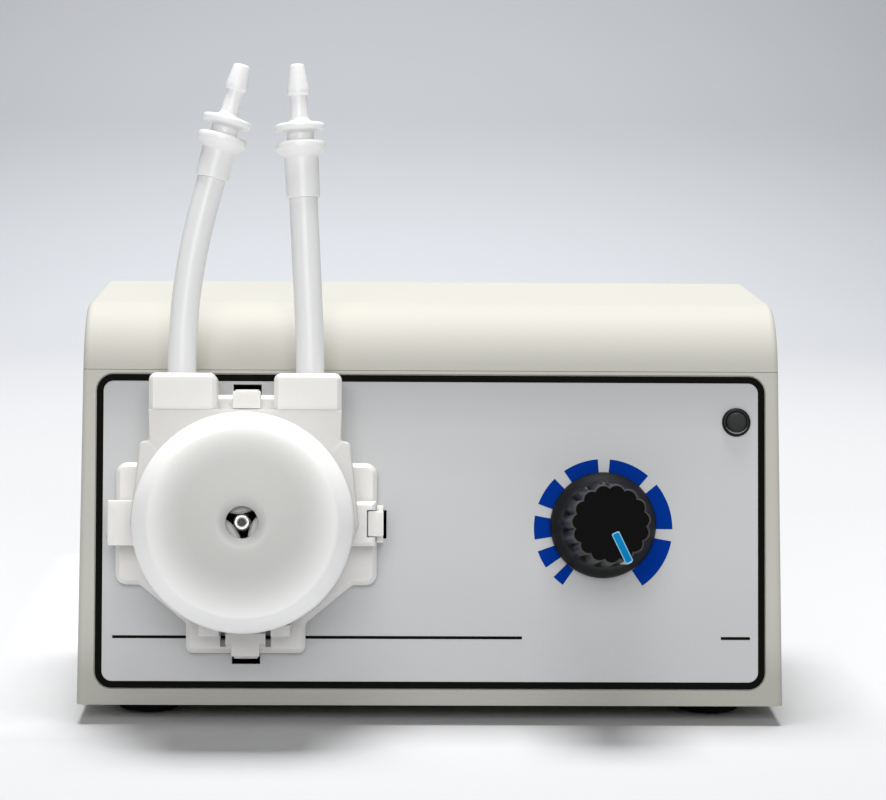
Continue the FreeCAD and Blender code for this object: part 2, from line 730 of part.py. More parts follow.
def panel_clip():
    """One sprung foot that passes through a panel slot and hooks behind it."""
    half = CLIP_WIDTH / 2
    hook_top = PANEL_BACK - CLIP_PANEL_GAP
    stem = box((-half, half), (CLIP_INNER, CLIP_OUTER), (hook_top - CLIP_BARB_HEIGHT, PLATE_THICKNESS / 2))
    root = box((-half, half), (CLIP_INNER - 1.0, CLIP_OUTER), (0.0, PLATE_THICKNESS / 2))
    barb = polygon_wire([Vec(-half, CLIP_INNER, hook_top), Vec(-half, CLIP_INNER - CLIP_BARB, hook_top),
                         Vec(-half, CLIP_INNER, hook_top - CLIP_BARB_HEIGHT)])
    return fused([stem, root, Part.Face(barb).extrude(Vec(CLIP_WIDTH, 0, 0))])


def side_tab():
    """The right-hand arm that holds the housing's lug."""
    start = LUG_REACH + TAB_CLEARANCE
    half = TAB_WIDTH / 2
    nose_half = TAB_NOSE_WIDTH / 2
    arm = box((start, start + TAB_THICKNESS), (-half, half), (0.0, TAB_HEIGHT))
    root = box((PLATE_REACH - 1.0, start + TAB_THICKNESS), (-half, half), (0.0, PLATE_THICKNESS - PLATE_EDGE))
    neck = box((start, start + TAB_THICKNESS), (-nose_half, nose_half), (TAB_HEIGHT - 0.5, TAB_HEIGHT + 0.1))
    tip = start + TAB_THICKNESS
    nose_top = TAB_HEIGHT + TAB_NOSE_HEIGHT
    nose_end = tip - TAB_NOSE_REACH
    nose_corners = [(tip, TAB_HEIGHT), (tip, nose_top - TAB_NOSE_CHAMFER), (tip - TAB_NOSE_CHAMFER, nose_top),
                    (nose_end + TAB_NOSE_CHAMFER, nose_top), (nose_end, nose_top - TAB_NOSE_CHAMFER),
                    (nose_end, TAB_HEIGHT)]
    nose_wire = polygon_wire([Vec(x, -nose_half, z) for x, z in nose_corners])
    nose = Part.Face(nose_wire).extrude(Vec(0, TAB_NOSE_WIDTH, 0))
    return fused([arm, root, neck, nose])


def release_fingers():
    half = FINGER_WIDTH / 2
    root_half = FINGER_ROOT_WIDTH / 2
    low_top = PLATE_THICKNESS + FINGER_RISE
    high_top = PLATE_THICKNESS + FINGER_UP_RISE
    block = box((-root_half, root_half), (-FINGER_ROOT_TIP, -FINGER_START), (PLATE_THICKNESS - 1.0, low_top))
    tongue = box((-half, half), (-FINGER_TIP, -FINGER_ROOT_TIP + 0.2), (PLATE_THICKNESS - 1.2, low_top))
    upper = box((-half, half), (FINGER_UP_START, FINGER_TIP), (PLATE_THICKNESS - 1.2, high_top))
    return [block, tongue, upper]


def motor_screw_places():
    return [(-MOTOR_SCREW_X, 0.0), (MOTOR_SCREW_X, 0.0)]


def mount_plate():
    clips = [spun(panel_clip(), angle) for angle in (0, 90, 180, 270)]
    tabs = [side_tab(), mirrored(side_tab())]
    plate = fused([plate_blank()] + release_fingers() + clips + tabs)
    cuts = [rod(MOTOR_BOSS_RADIUS + MOTOR_BOSS_CLEARANCE, (-1.0, PLATE_THICKNESS + 1.0))]
    slit_inner = FINGER_ROOT_WIDTH / 2
    slit_span = (slit_inner, slit_inner + FINGER_SLIT)
    slit = box(slit_span, (-FINGER_SLIT_END, -FINGER_SLIT_START), (-1.0, FAR))
    pocket = box(slit_span, (-FINGER_POCKET_END, -FINGER_SLIT_START), (PLATE_THICKNESS - FINGER_POCKET_DEPTH, FAR))
    cuts += [slit, mirrored(slit), pocket, mirrored(pocket)]
    sink_top = MOTOR_SCREW_HEAD + MOTOR_SCREW_MARGIN
    hole = MOTOR_SCREW_RADIUS + MOTOR_SCREW_MARGIN
    sink_start = PLATE_THICKNESS - MOTOR_SCREW_SINK
    for place in motor_screw_places():
        base = Vec(place[0], place[1], sink_start)
        cuts.append(rod(hole, (-1.0, PLATE_THICKNESS), place))
        cuts.append(Part.makeCone(hole, sink_top, MOTOR_SCREW_SINK, base))
    return plate.cut(cuts)


def motor_screws():
    sink_start = PLATE_THICKNESS - MOTOR_SCREW_SINK
    head = Part.makeCone(MOTOR_SCREW_RADIUS, MOTOR_SCREW_HEAD, MOTOR_SCREW_SINK - 0.1, Vec(0, 0, sink_start))
    screw = fused([head, rod(MOTOR_SCREW_RADIUS, (MOTOR_SCREW_TIP, sink_start))])
    slot = box((-0.35, 0.35), (-FAR, FAR), (PLATE_THICKNESS - 0.6, PLATE_THICKNESS))
    screw = screw.cut(slot)
    return Part.makeCompound([screw.translated(Vec(x, y, 0)) for x, y in motor_screw_places()])


def head_outline(z_span):
    """The body outline that the pump housing and its front cover share."""
    tangent_x = math.sqrt(HOUSING_RADIUS ** 2 - HOUSING_TANGENT_Y ** 2)
    right = [(tangent_x, -HOUSING_TANGENT_Y), (HOUSING_WAIST_X, 0.0), (HOUSING_SHOULDER_X, HOUSING_SHOULDER_Y),
             (SOCKET_OUTER, HOUSING_SHOULDER_Y), (SOCKET_OUTER, COVER_TOP)]
    radii = [0.0, 0.0, HOUSING_SHOULDER_RADIUS, HOUSING_NECK_RADIUS, 0.0]
    left = [(-x, y) for x, y in reversed(right)]
    return fused([prism(right + left, radii + radii[::-1], z_span), rod(HOUSING_RADIUS, z_span)])


def raceway(z_span):
    top = box((-RACEWAY_RADIUS, RACEWAY_RADIUS), (0.0, CAVITY_TOP), z_span)
    half = rod(RACEWAY_RADIUS, z_span).cut(box((-FAR, FAR), (0.0, FAR), z_span))
    return fused([half, top])


def tube_holes():
    holes = []
    for side in (-1, 1):
        start = Vec(side * SOCKET_CENTRE, CAVITY_TOP - 1.0, TUBE_HEIGHT)
        holes.append(Part.makeCylinder(TUBE_RADIUS + TUBE_CLEARANCE, FAR, start, Y_AXIS))
    return holes


def socket_block(z_span, low):
    block = rounded_box((SOCKET_INNER, SOCKET_OUTER), (low, SOCKET_TOP), z_span, SOCKET_RADIUS)
    square = box((SOCKET_INNER, SOCKET_OUTER), (low, low + 1.5), z_span)
    return fused([block, square])


def tube_socket():
    low = HOUSING_SHOULDER_Y - 1.0
    block = socket_block((PLATE_THICKNESS, SOCKET_FRONT), COVER_TOP + COVER_PARTING)
    block = chamfer_where(block, SOCKET_EDGE,
                          lambda e: abs(middle_of(e).z - SOCKET_FRONT) < 1e-6
                          and middle_of(e).y > COVER_TOP + COVER_PARTING + 0.01)
    return fused([block, socket_block((PLATE_THICKNESS, SPLIT_Z), low)])


def side_lug():
    half = LUG_WIDTH / 2
    lug = box((LUG_INNER, LUG_REACH), (-half, half), (LUG_BACK, LUG_FRONT))
    lug = chamfer_where(lug, LUG_EDGE, lambda e: abs(middle_of(e).z - LUG_FRONT) < 1e-6
                        and middle_of(e).x > LUG_INNER + 0.01)
    notch_half = LUG_NOTCH_WIDTH / 2
    return lug.cut(box((LUG_NOTCH_START, LUG_REACH + 1.0), (-notch_half, notch_half), (TAB_HEIGHT, LUG_FRONT + 1.0)))


def bottom_pad():
    """One of the two square pads beside the plate's lower release finger."""
    return box((HOUSING_PAD_INNER, HOUSING_PAD_OUTER), (-HOUSING_PAD_REACH, 1.0 - HOUSING_RADIUS),
               (PLATE_THICKNESS, HOUSING_PAD_FRONT))


def pump_housing():
    body = head_outline((PLATE_THICKNESS, SPLIT_Z))
    halves = [tube_socket(), side_lug(), bottom_pad()]
    parts = [body] + halves + [mirrored(half) for half in halves]
    cuts = [raceway((CHAMBER_BACK, FAR)), rod(HOUSING_SHAFT_HOLE, (0.0, FAR))] + tube_holes()
    return fused(parts).cut(cuts)


def dome(radius, bottom, sphere_radius, bevel_width, bevel_depth):
    """A drum with a bevelled rim and a slightly domed front, turned in short bands."""
    centre_z = DRUM_FRONT - DOME_RADIUS
    reach = radius - bevel_width
    rim_z = centre_z + math.sqrt(sphere_radius ** 2 - reach ** 2)
    corners = [(0.0, bottom), (radius, bottom), (radius, rim_z - bevel_depth)]
    for k in range(DOME_BANDS, -1, -1):
        across = reach * k / DOME_BANDS
        corners.append((across, centre_z + math.sqrt(sphere_radius ** 2 - across ** 2)))
    return turned(corners)


def pump_cover():
    drum = dome(DRUM_RADIUS, SPLIT_Z, DOME_RADIUS, DRUM_BEVEL_WIDTH, DRUM_BEVEL_DEPTH)
    body = fused([head_outline((SPLIT_Z, SOCKET_FRONT)), drum])
    inside = dome(DRUM_RADIUS - DRUM_WALL, SOCKET_FRONT, DOME_RADIUS - DOME_WALL, DRUM_INNER_BEVEL_WIDTH,
                  DRUM_INNER_BEVEL_DEPTH)
    dish_top = DRUM_FRONT + 0.05
    dish = turned([(0.0, 0.0), (COVER_HOLE, 0.0), (COVER_HOLE, dish_top - COVER_DISH_DEPTH), (COVER_DISH, dish_top),
                   (COVER_DISH, DRUM_FRONT + 1.0), (0.0, DRUM_FRONT + 1.0)])
    return body.cut([inside, raceway((0.0, SOCKET_FRONT)), dish] + tube_holes())


# Rollers and their carrier

def carrier_pins():
    spots = []
    for angle in ROLLER_ANGLES:
        turn = math.radians(angle)
        spots.append((ROLLER_CENTRE * math.cos(turn), ROLLER_CENTRE * math.sin(turn)))
    return spots


def carrier_plate(z_span):
    plate = ring(CARRIER_RADIUS, CARRIER_HOLE, z_span)
    return plate.cut([rod(ROLLER_PIN_RADIUS, z_span, spot) for spot in carrier_pins()])


def roller_pins():
    return Part.makeCompound([rod(ROLLER_PIN_RADIUS, (CARRIER_BACK, CARRIER_FRONT), spot) for spot in carrier_pins()])


def roller(spot):
    bore = ROLLER_PIN_RADIUS + ROLLER_PIN_CLEARANCE
    inner = ROLLER_RADIUS - ROLLER_CHAMFER
    corners = [(bore, ROLLER_START), (inner, ROLLER_START), (ROLLER_RADIUS, ROLLER_START + ROLLER_CHAMFER),
               (ROLLER_RADIUS, ROLLER_END - ROLLER_CHAMFER), (inner, ROLLER_END), (bore, ROLLER_END)]
    return turned(corners).translated(Vec(spot[0], spot[1], 0))


# Tube and connectors

def flat_section(centre, thickness, width, y):
    """A flattened tube section with round ends, in a plane of constant Y."""
    radius = thickness / 2 / math.cos(math.radians(15))
    straight = (width - thickness) / 2
    points = []
    for k in range(12):
        turn = math.radians(30 * k + 15)
        lift = straight if k < 6 else -straight
        points.append(Vec(centre + radius * math.cos(turn), y, TUBE_HEIGHT + lift + radius * math.sin(turn)))
    return polygon_wire(points)


def slit_section(centre, thickness, width, y):
    """The squeezed bore, in a plane of constant Y."""
    corners = [(thickness, width), (-thickness, width), (-thickness, -width), (thickness, -width)]
    return polygon_wire([Vec(centre + a / 2, y, TUBE_HEIGHT + b / 2) for a, b in corners])


def round_section(radius, sides, y):
    step = 2 * math.pi / sides
    return polygon_wire([Vec(SOCKET_CENTRE + radius * math.cos(step * (k + 0.5)), y,
                             TUBE_HEIGHT + radius * math.sin(step * (k + 0.5))) for k in range(sides)])


def tail(side, start_y, bend, side_lean, back_lean, straight):
    """The bend and the straight end of one tube tail, in the head frame."""
    lean_x = math.tan(math.radians(side_lean))
    lean_z = -math.tan(math.radians(back_lean))
    sideways = Vec(lean_x, 0, lean_z)
    angle = math.atan(sideways.Length)
    sideways.normalize()
    radius = bend / angle
    start = Vec(side * SOCKET_CENTRE, start_y, TUBE_HEIGHT)
    centre = start + sideways * radius
    direction = Y_AXIS * math.cos(angle) + sideways * math.sin(angle)
    bend_end = centre - sideways * (radius * math.cos(angle)) + Y_AXIS * (radius * math.sin(angle))
    return {"start": start, "centre": centre, "axis": Y_AXIS.cross(sideways), "angle": math.degrees(angle),
            "direction": direction, "bend_end": bend_end, "sleeve": bend_end + direction * straight,
            "length": straight + CONNECTOR_INSERT}


def tail_solids(shape, radius, extra):
    start = shape["start"]
    disc = Part.Face(Part.Wire(Part.makeCircle(radius, start, Y_AXIS)))
    straight = Part.makeCylinder(radius, start.y - TUBE_ROUND_START, Vec(start.x, TUBE_ROUND_START, TUBE_HEIGHT), Y_AXIS)
    bend = disc.revolve(shape["centre"], shape["axis"], shape["angle"])
    end = Part.makeCylinder(radius, shape["length"] + extra, shape["bend_end"], shape["direction"])
    return [straight, bend, end]


def loop_solids(section, thickness, width, round_end):
    """The squeezed half turn round the rollers and the change to a round section on each side."""
    flat = Part.Face(section(SQUEEZE_CENTRE, thickness, width, 0.0))
    half_turn = flat.revolve(ORIGIN, Z_AXIS, -180)
    straight = flat.extrude(Vec(0, TUBE_FLAT_END, 0))
    change = Part.makeLoft([section(SQUEEZE_CENTRE, thickness, width, TUBE_FLAT_END), round_end], True, True)
    return [half_turn, straight, mirrored(straight), change, mirrored(change)]


def both_tails():
    left = tail(-1, LEFT_TAIL_START, LEFT_TAIL_BEND, LEFT_TAIL_SIDE_LEAN, LEFT_TAIL_BACK_LEAN, LEFT_TAIL_END)
    right = tail(1, RIGHT_TAIL_START, RIGHT_TAIL_BEND, RIGHT_TAIL_SIDE_LEAN, RIGHT_TAIL_BACK_LEAN, RIGHT_TAIL_END)
    return left, right


def pump_tube():
    outer = loop_solids(flat_section, TUBE_SQUEEZED, TUBE_SQUEEZED_WIDTH, round_section(TUBE_RADIUS, 12, TUBE_ROUND_START))
    inner = loop_solids(slit_section, TUBE_SLIT, TUBE_SLIT_WIDTH, round_section(TUBE_BORE, 4, TUBE_ROUND_START))
    for shape in both_tails():
        outer += tail_solids(shape, TUBE_RADIUS, 0.0)
        inner += tail_solids(shape, TUBE_BORE, 1.0)
    return fused(outer).cut(fused(inner))


def barb_height(sleeve):
    """Where the barb's land starts, above the mouth of the sleeve."""
    return (sleeve + CONNECTOR_FLANGE_TAPER + CONNECTOR_FLANGE_RIM + CONNECTOR_WAIST_LENGTH
            + CONNECTOR_TOP_FLANGE + CONNECTOR_NECK_LENGTH)


def connector(sleeve, barb_taper, tip_radius):
    """A hose connector along Z, with the mouth of its sleeve at Z = 0."""
    flange_start = sleeve
    rim_start = flange_start + CONNECTOR_FLANGE_TAPER
    waist_start = rim_start + CONNECTOR_FLANGE_RIM
    top_flange = waist_start + CONNECTOR_WAIST_LENGTH
    neck_start = top_flange + CONNECTOR_TOP_FLANGE
    barb_start = barb_height(sleeve)
    land_end = barb_start + CONNECTOR_BARB_LAND
    tip = land_end + barb_taper
    sleeve_bore = TUBE_RADIUS + TUBE_CLEARANCE / 2
    corners = [(sleeve_bore, 0.0), (CONNECTOR_SLEEVE_RADIUS - 0.05, 0.0), (CONNECTOR_SLEEVE_RADIUS, flange_start),
               (CONNECTOR_FLANGE, rim_start), (CONNECTOR_FLANGE, waist_start), (CONNECTOR_WAIST, waist_start),
               (CONNECTOR_WAIST, top_flange), (CONNECTOR_FLANGE, top_flange), (CONNECTOR_FLANGE, neck_start),
               (CONNECTOR_NECK, neck_start), (CONNECTOR_NECK, barb_start), (CONNECTOR_BARB, barb_start),
               (CONNECTOR_BARB, land_end), (tip_radius, tip), (CONNECTOR_BORE, tip),
               (CONNECTOR_BORE, CONNECTOR_INSERT), (sleeve_bore, CONNECTOR_INSERT)]
    return turned(corners)


def connector_place(shape):
    turn = FreeCAD.Rotation(Z_AXIS, shape["direction"])
    return HEAD.multiply(FreeCAD.Placement(shape["sleeve"], turn))


# Motor

def motor_can():
    can = rod(MOTOR_RADIUS, (-MOTOR_LENGTH, 0.0)).cut(
        rod(MOTOR_RADIUS - MOTOR_WALL, (-MOTOR_LENGTH - 1.0, -MOTOR_WALL)))
    boss = rod(MOTOR_BOSS_RADIUS, (-MOTOR_WALL, MOTOR_BOSS_HEIGHT))
    cuts = [rod(BUSH_RADIUS, (-MOTOR_WALL - 1.0, MOTOR_BOSS_HEIGHT + 1.0))]
    cuts += [rod(MOTOR_SCREW_RADIUS - THREAD_BITE, (-MOTOR_WALL - 1.0, 1.0), place) for place in motor_screw_places()]
    return fused([can, boss]).cut(cuts)


def bush(start):
    return ring(BUSH_RADIUS, SHAFT_RADIUS + BUSH_CLEARANCE, (start, start + BUSH_LENGTH))


def rear_bush_start():
    return -MOTOR_LENGTH - MOTOR_CAP_THICKNESS - MOTOR_CAP_BOSS_HEIGHT + 0.4


def motor_end_cap():
    cap_back = -MOTOR_LENGTH - MOTOR_CAP_THICKNESS
    plate = rod(MOTOR_RADIUS, (cap_back, -MOTOR_LENGTH))
    spigot = ring(MOTOR_RADIUS - MOTOR_WALL - 0.05, MOTOR_RADIUS - MOTOR_WALL - 1.5,
                  (-MOTOR_LENGTH, -MOTOR_LENGTH + MOTOR_CAP_SPIGOT))
    boss = rod(MOTOR_CAP_BOSS, (cap_back - MOTOR_CAP_BOSS_HEIGHT, cap_back))
    cuts = [rod(BUSH_RADIUS, (rear_bush_start(), 0.0)),
            rod(SHAFT_RADIUS + 0.3, (cap_back - MOTOR_CAP_BOSS_HEIGHT + 0.3, 0.0))]
    cuts += motor_terminal_bars()
    return fused([plate, spigot, boss]).cut(cuts)


def motor_terminal_bars():
    start = -MOTOR_LENGTH - MOTOR_CAP_THICKNESS - TERMINAL_LENGTH
    end = -MOTOR_LENGTH - MOTOR_CAP_THICKNESS + TERMINAL_ROOT
    half = TERMINAL_WIDTH / 2
    thick = TERMINAL_THICKNESS / 2
    return [box((x - thick, x + thick), (-half, half), (start, end)) for x in (-TERMINAL_X, TERMINAL_X)]


def motor_magnets():
    outer = MOTOR_RADIUS - MOTOR_WALL
    span = (-MAGNET_START - MAGNET_LENGTH, -MAGNET_START)
    arcs = []
    for middle in (0.0, 180.0):
        arcs.append(sector(outer, middle - MAGNET_ARC / 2, MAGNET_ARC, span).cut(rod(MAGNET_INNER, span)))
    return Part.makeCompound(arcs)


def armature_span():
    return -ARMATURE_START - ARMATURE_LENGTH, -ARMATURE_START


def armature_core():
    span = armature_span()
    half = ARMATURE_STEM / 2
    parts = [rod(ARMATURE_HUB, span)]
    shoe = sector(ARMATURE_RADIUS, -ARMATURE_SHOE_ARC / 2, ARMATURE_SHOE_ARC, span)
    shoe = shoe.cut(rod(ARMATURE_RADIUS - ARMATURE_SHOE, span))
    stem = box((0.0, ARMATURE_RADIUS - ARMATURE_SHOE / 2), (-half, half), span)
    for k in range(ARMATURE_POLES):
        angle = 360.0 / ARMATURE_POLES * k
        parts += [spun(shoe, angle), spun(stem, angle)]
    return fused(parts).cut(rod(SHAFT_RADIUS, span))


def armature_windings():
    low, high = armature_span()
    outer = ARMATURE_RADIUS - ARMATURE_SHOE - 0.1
    corners = [(WINDING_FOOT, -WINDING_FOOT_HALF), (outer - 1.0, -WINDING_HALF), (outer - 1.0, WINDING_HALF),
               (WINDING_FOOT, WINDING_FOOT_HALF)]
    coil = prism(corners, [0.3, 1.0, 1.0, 0.3], (low - WINDING_OVERHANG, high + WINDING_OVERHANG))
    half = ARMATURE_STEM / 2
    coil = coil.cut(box((0.0, ARMATURE_RADIUS), (-half, half), (low, high)))
    return Part.makeCompound([spun(coil, 360.0 / ARMATURE_POLES * k) for k in range(ARMATURE_POLES)])


def commutator():
    top = armature_span()[0] - WINDING_OVERHANG - COMMUTATOR_GAP
    return ring(COMMUTATOR_RADIUS, SHAFT_RADIUS, (top - COMMUTATOR_LENGTH, top))


def motor_shaft():
    start = rear_bush_start() + 0.1
    return turned([(0.0, start), (SHAFT_RADIUS, start), (SHAFT_RADIUS, SHAFT_TIP - SHAFT_CHAMFER),
                   (SHAFT_RADIUS - SHAFT_CHAMFER, SHAFT_TIP), (SHAFT_RECESS_RADIUS, SHAFT_TIP),
                   (0.0, SHAFT_TIP - SHAFT_RECESS_DEPTH)])


# Speed knob and its potentiometer

def pot_body():
    back = PANEL_BACK - POT_DEPTH
    half = POT_LUG_WIDTH / 2
    body = rod(POT_RADIUS, (back, PANEL_BACK))
    wafer_low = -POT_RADIUS - 1.5
    wafer = box((-POT_LUG_PITCH - 2.0, POT_LUG_PITCH + 2.0), (wafer_low, 0.0),
                (PANEL_BACK - POT_LUG_DEPTH - 0.8, PANEL_BACK - POT_LUG_DEPTH + 0.8))
    lugs = [box((x - half, x + half), (wafer_low - POT_LUG_LENGTH, wafer_low + 1.0),
                (PANEL_BACK - POT_LUG_DEPTH - 0.25, PANEL_BACK - POT_LUG_DEPTH + 0.25))
            for x in (-POT_LUG_PITCH, 0.0, POT_LUG_PITCH)]
    return fused([body, wafer] + lugs).cut(rod(pot_bore(), (-POT_SHAFT_START - 0.1, 0.0)))


def pot_bore():
    return POT_SHAFT_RADIUS + POT_SHAFT_CLEARANCE


def pot_bush():
    return ring(POT_BUSH_RADIUS, pot_bore(), (PANEL_BACK, POT_BUSH_TOP))


def pot_washer():
    return ring(POT_WASHER_RADIUS, POT_BUSH_RADIUS + 0.1, (0.0, POT_WASHER_THICKNESS))


def pot_nut():
    span = (POT_WASHER_THICKNESS, POT_WASHER_THICKNESS + POT_NUT_THICKNESS)
    return hexagon(POT_NUT_ACROSS, span).cut(rod(POT_BUSH_RADIUS, span))


def pot_shaft():
    return rod(POT_SHAFT_RADIUS, (-POT_SHAFT_START, POT_SHAFT_TOP))


def lobed_wire(radius, z):
    """A closed ring of outward lobes, each made of short straight sides."""
    points = []
    for k in range(KNOB_LOBES * KNOB_LOBE_SIDES):
        turn = 2 * math.pi * k / (KNOB_LOBES * KNOB_LOBE_SIDES)
        reach = radius - KNOB_LOBE_DEPTH * (1 - abs(math.cos(KNOB_LOBES * turn / 2)))
        points.append(Vec(reach * math.cos(turn), reach * math.sin(turn), z))
    return polygon_wire(points)


def pointer_bar():
    half = POINTER_WIDTH / 2
    top = KNOB_TOP + POINTER_PROUD
    face = box((POINTER_START, POINTER_END), (-half, half), (KNOB_TOP - POINTER_DEPTH, top))
    flank = box((POINTER_END - 1.0, POINTER_END), (-half, half), (KNOB_TOP - POINTER_SIDE, top))
    return fused([face, flank])


def speed_knob():
    rim = KNOB_SKIRT_RADIUS - KNOB_SKIRT_ROUND
    skirt = turned([(0.0, KNOB_FOOT), (KNOB_SKIRT_RADIUS, KNOB_FOOT), (KNOB_SKIRT_RADIUS, KNOB_SKIRT_RIM),
                    (rim, KNOB_SKIRT_RIM + KNOB_SKIRT_ROUND), (KNOB_WAIST_RADIUS + KNOB_SKIRT_ROUND / 2, KNOB_WAIST_HEIGHT - KNOB_SKIRT_ROUND),
                    (KNOB_WAIST_RADIUS, KNOB_WAIST_HEIGHT), (KNOB_GRIP_FOOT, KNOB_SKIRT_TOP), (0.0, KNOB_SKIRT_TOP)])
    grip = Part.makeLoft([lobed_wire(KNOB_GRIP_FOOT, KNOB_SKIRT_TOP - 1.2),
                          lobed_wire(KNOB_GRIP_TOP, KNOB_TOP - KNOB_TOP_CHAMFER),
                          lobed_wire(KNOB_GRIP_TOP - KNOB_TOP_CHAMFER, KNOB_TOP)], True, True)
    body = fused([skirt, grip])
    hollows = [rod(KNOB_NUT_HOLLOW_RADIUS, (0.0, KNOB_NUT_HOLLOW_TOP)), rod(KNOB_HOLLOW_RADIUS, (0.0, KNOB_HOLLOW_TOP))]
    return body.cut(hollows + [rod(POT_SHAFT_RADIUS, (0.0, POT_SHAFT_TOP)), pointer_bar()])


# Power light

def power_light_bezel():
    body = turned([(0.0, -LIGHT_DEPTH), (LIGHT_RADIUS, -LIGHT_DEPTH), (LIGHT_RADIUS, LIGHT_PROUD - LIGHT_RIM),
                   (LIGHT_RADIUS - LIGHT_RIM, LIGHT_PROUD), (0.0, LIGHT_PROUD)])
    collar = rod(LIGHT_COLLAR_RADIUS, (PANEL_BACK - LIGHT_COLLAR, PANEL_BACK))
    return fused([body, collar]).cut(rod(LIGHT_LENS_RADIUS, (-LIGHT_LENS_DEPTH, LIGHT_PROUD + 1.0)))


def power_light_lens():
    step = LIGHT_LENS_CURVE * 0.3
    return turned([(0.0, -LIGHT_LENS_DEPTH), (LIGHT_LENS_RADIUS, -LIGHT_LENS_DEPTH),
                   (LIGHT_LENS_RADIUS, LIGHT_LENS_PROUD - LIGHT_LENS_CURVE),
                   (LIGHT_LENS_RADIUS - step, LIGHT_LENS_PROUD - step),
                   (LIGHT_LENS_RADIUS - LIGHT_LENS_CURVE, LIGHT_LENS_PROUD), (0.0, LIGHT_LENS_PROUD)])


# Control board

def control_board():
    board = rounded_box(BOARD_X, BOARD_Y, (BOARD_Z, BOARD_TOP), BOARD_CORNER)
    return board.cut([rod(BOARD_SCREW_RADIUS + 0.1, (BOARD_Z - 1.0, BOARD_TOP + 1.0), place)
                      for place in board_holes()])


def board_screws():
    screw = cap_screw(BOARD_SCREW_RADIUS, BOARD_SCREW_LENGTH, BOARD_SCREW_HEAD, BOARD_SCREW_HEAD_HEIGHT,
                      BOARD_SCREW_SOCKET)
    return Part.makeCompound([screw.translated(Vec(x, y, BOARD_TOP)) for x, y in board_holes()])


def board_capacitor():
    place = (BOARD_X[0] + CAPACITOR_IN, BOARD_Y[0] + CAPACITOR_UP)
    return rod(CAPACITOR_RADIUS, (BOARD_TOP, BOARD_TOP + CAPACITOR_HEIGHT), place)


def board_transistor():
    x = BOARD_X[0] + TRANSISTOR_IN
    y = BOARD_Y[0] + TRANSISTOR_UP
    half = TRANSISTOR_WIDTH / 2
    body_low = BOARD_TOP + TRANSISTOR_LEG
    body = box((x - half, x + half), (y, y + TRANSISTOR_THICKNESS), (body_low, body_low + TRANSISTOR_HEIGHT))
    tab = box((x - half, x + half), (y + TRANSISTOR_THICKNESS - TRANSISTOR_TAB, y + TRANSISTOR_THICKNESS),
              (body_low, body_low + TRANSISTOR_TAB_HEIGHT))
    hole_height = body_low + (TRANSISTOR_HEIGHT + TRANSISTOR_TAB_HEIGHT) / 2
    hole = Part.makeCylinder(TRANSISTOR_HOLE, FAR, Vec(x, y - 1.0, hole_height), Y_AXIS)
    leg = TRANSISTOR_LEG_WIDTH / 2
    leg_y = y + TRANSISTOR_THICKNESS / 2
    legs = [box((x + k * TRANSISTOR_LEG_PITCH - leg, x + k * TRANSISTOR_LEG_PITCH + leg), (leg_y - leg, leg_y + leg),
                (BOARD_TOP, body_low + leg)) for k in (-1, 0, 1)]
    return fused([body, tab.cut(hole)] + legs)


def terminal_block(x, y, ways):
    """A screw terminal block that stands on the board."""
    width = BLOCK_PITCH * ways
    block = box((x, x + width), (y, y + BLOCK_DEPTH), (BOARD_TOP, BOARD_TOP + BLOCK_HEIGHT))
    cuts = []
    for k in range(ways):
        centre = (x + BLOCK_PITCH * (k + 0.5), y + BLOCK_DEPTH / 2)
        cuts.append(rod(BLOCK_SCREW_RADIUS, (BOARD_TOP + BLOCK_HEIGHT - BLOCK_SCREW_SINK, FAR), centre))
    return block.cut(cuts)


def board_terminals():
    power = terminal_block(BOARD_X[0] + POWER_BLOCK_IN, BOARD_Y[1] - BLOCK_DEPTH - BLOCK_EDGE_GAP, 2)
    corner = Vec(BOARD_X[0] + BLOCK_DEPTH + BLOCK_EDGE_GAP, BOARD_Y[0] + MOTOR_BLOCK_UP, 0)
    motor = spun(terminal_block(0.0, 0.0, 2), 90).translated(corner)
    return Part.makeCompound([power, motor])


def board_chip():
    x = BOARD_X[0] + CHIP_IN
    y = BOARD_Y[0] + CHIP_UP
    return box((x, x + CHIP_WIDTH), (y, y + CHIP_DEPTH), (BOARD_TOP, BOARD_TOP + CHIP_HEIGHT))


# Power socket

def dc_jack():
    back = -JACK_THREAD_LENGTH - JACK_BODY_LENGTH
    shell = turned([(0.0, back), (JACK_BODY_RADIUS, back), (JACK_BODY_RADIUS, -JACK_THREAD_LENGTH),
                    (JACK_THREAD_RADIUS, -JACK_THREAD_LENGTH), (JACK_THREAD_RADIUS, 0.0), (JACK_FLANGE_RADIUS, 0.0),
                    (JACK_FLANGE_RADIUS, JACK_FLANGE - JACK_CHAMFER), (JACK_FLANGE_RADIUS - JACK_CHAMFER, JACK_FLANGE),
                    (0.0, JACK_FLANGE)])
    shell = shell.cut(rod(JACK_BORE_RADIUS, (JACK_FLANGE - JACK_BORE_DEPTH, JACK_FLANGE + 1.0)))
    pin = rod(JACK_PIN_RADIUS, (JACK_FLANGE - JACK_BORE_DEPTH - 1.0, JACK_FLANGE - JACK_PIN_RECESS))
    tags = [box((x - 0.25, x + 0.25), (-1.0, 1.0), (back - 3.0, back + 1.0)) for x in (-2.2, 2.2)]
    return fused([shell, pin] + tags)


def dc_jack_nut():
    span = (-CASE_WALL - JACK_NUT_THICKNESS, -CASE_WALL)
    return hexagon(JACK_NUT_ACROSS, span).cut(rod(JACK_THREAD_RADIUS, span))


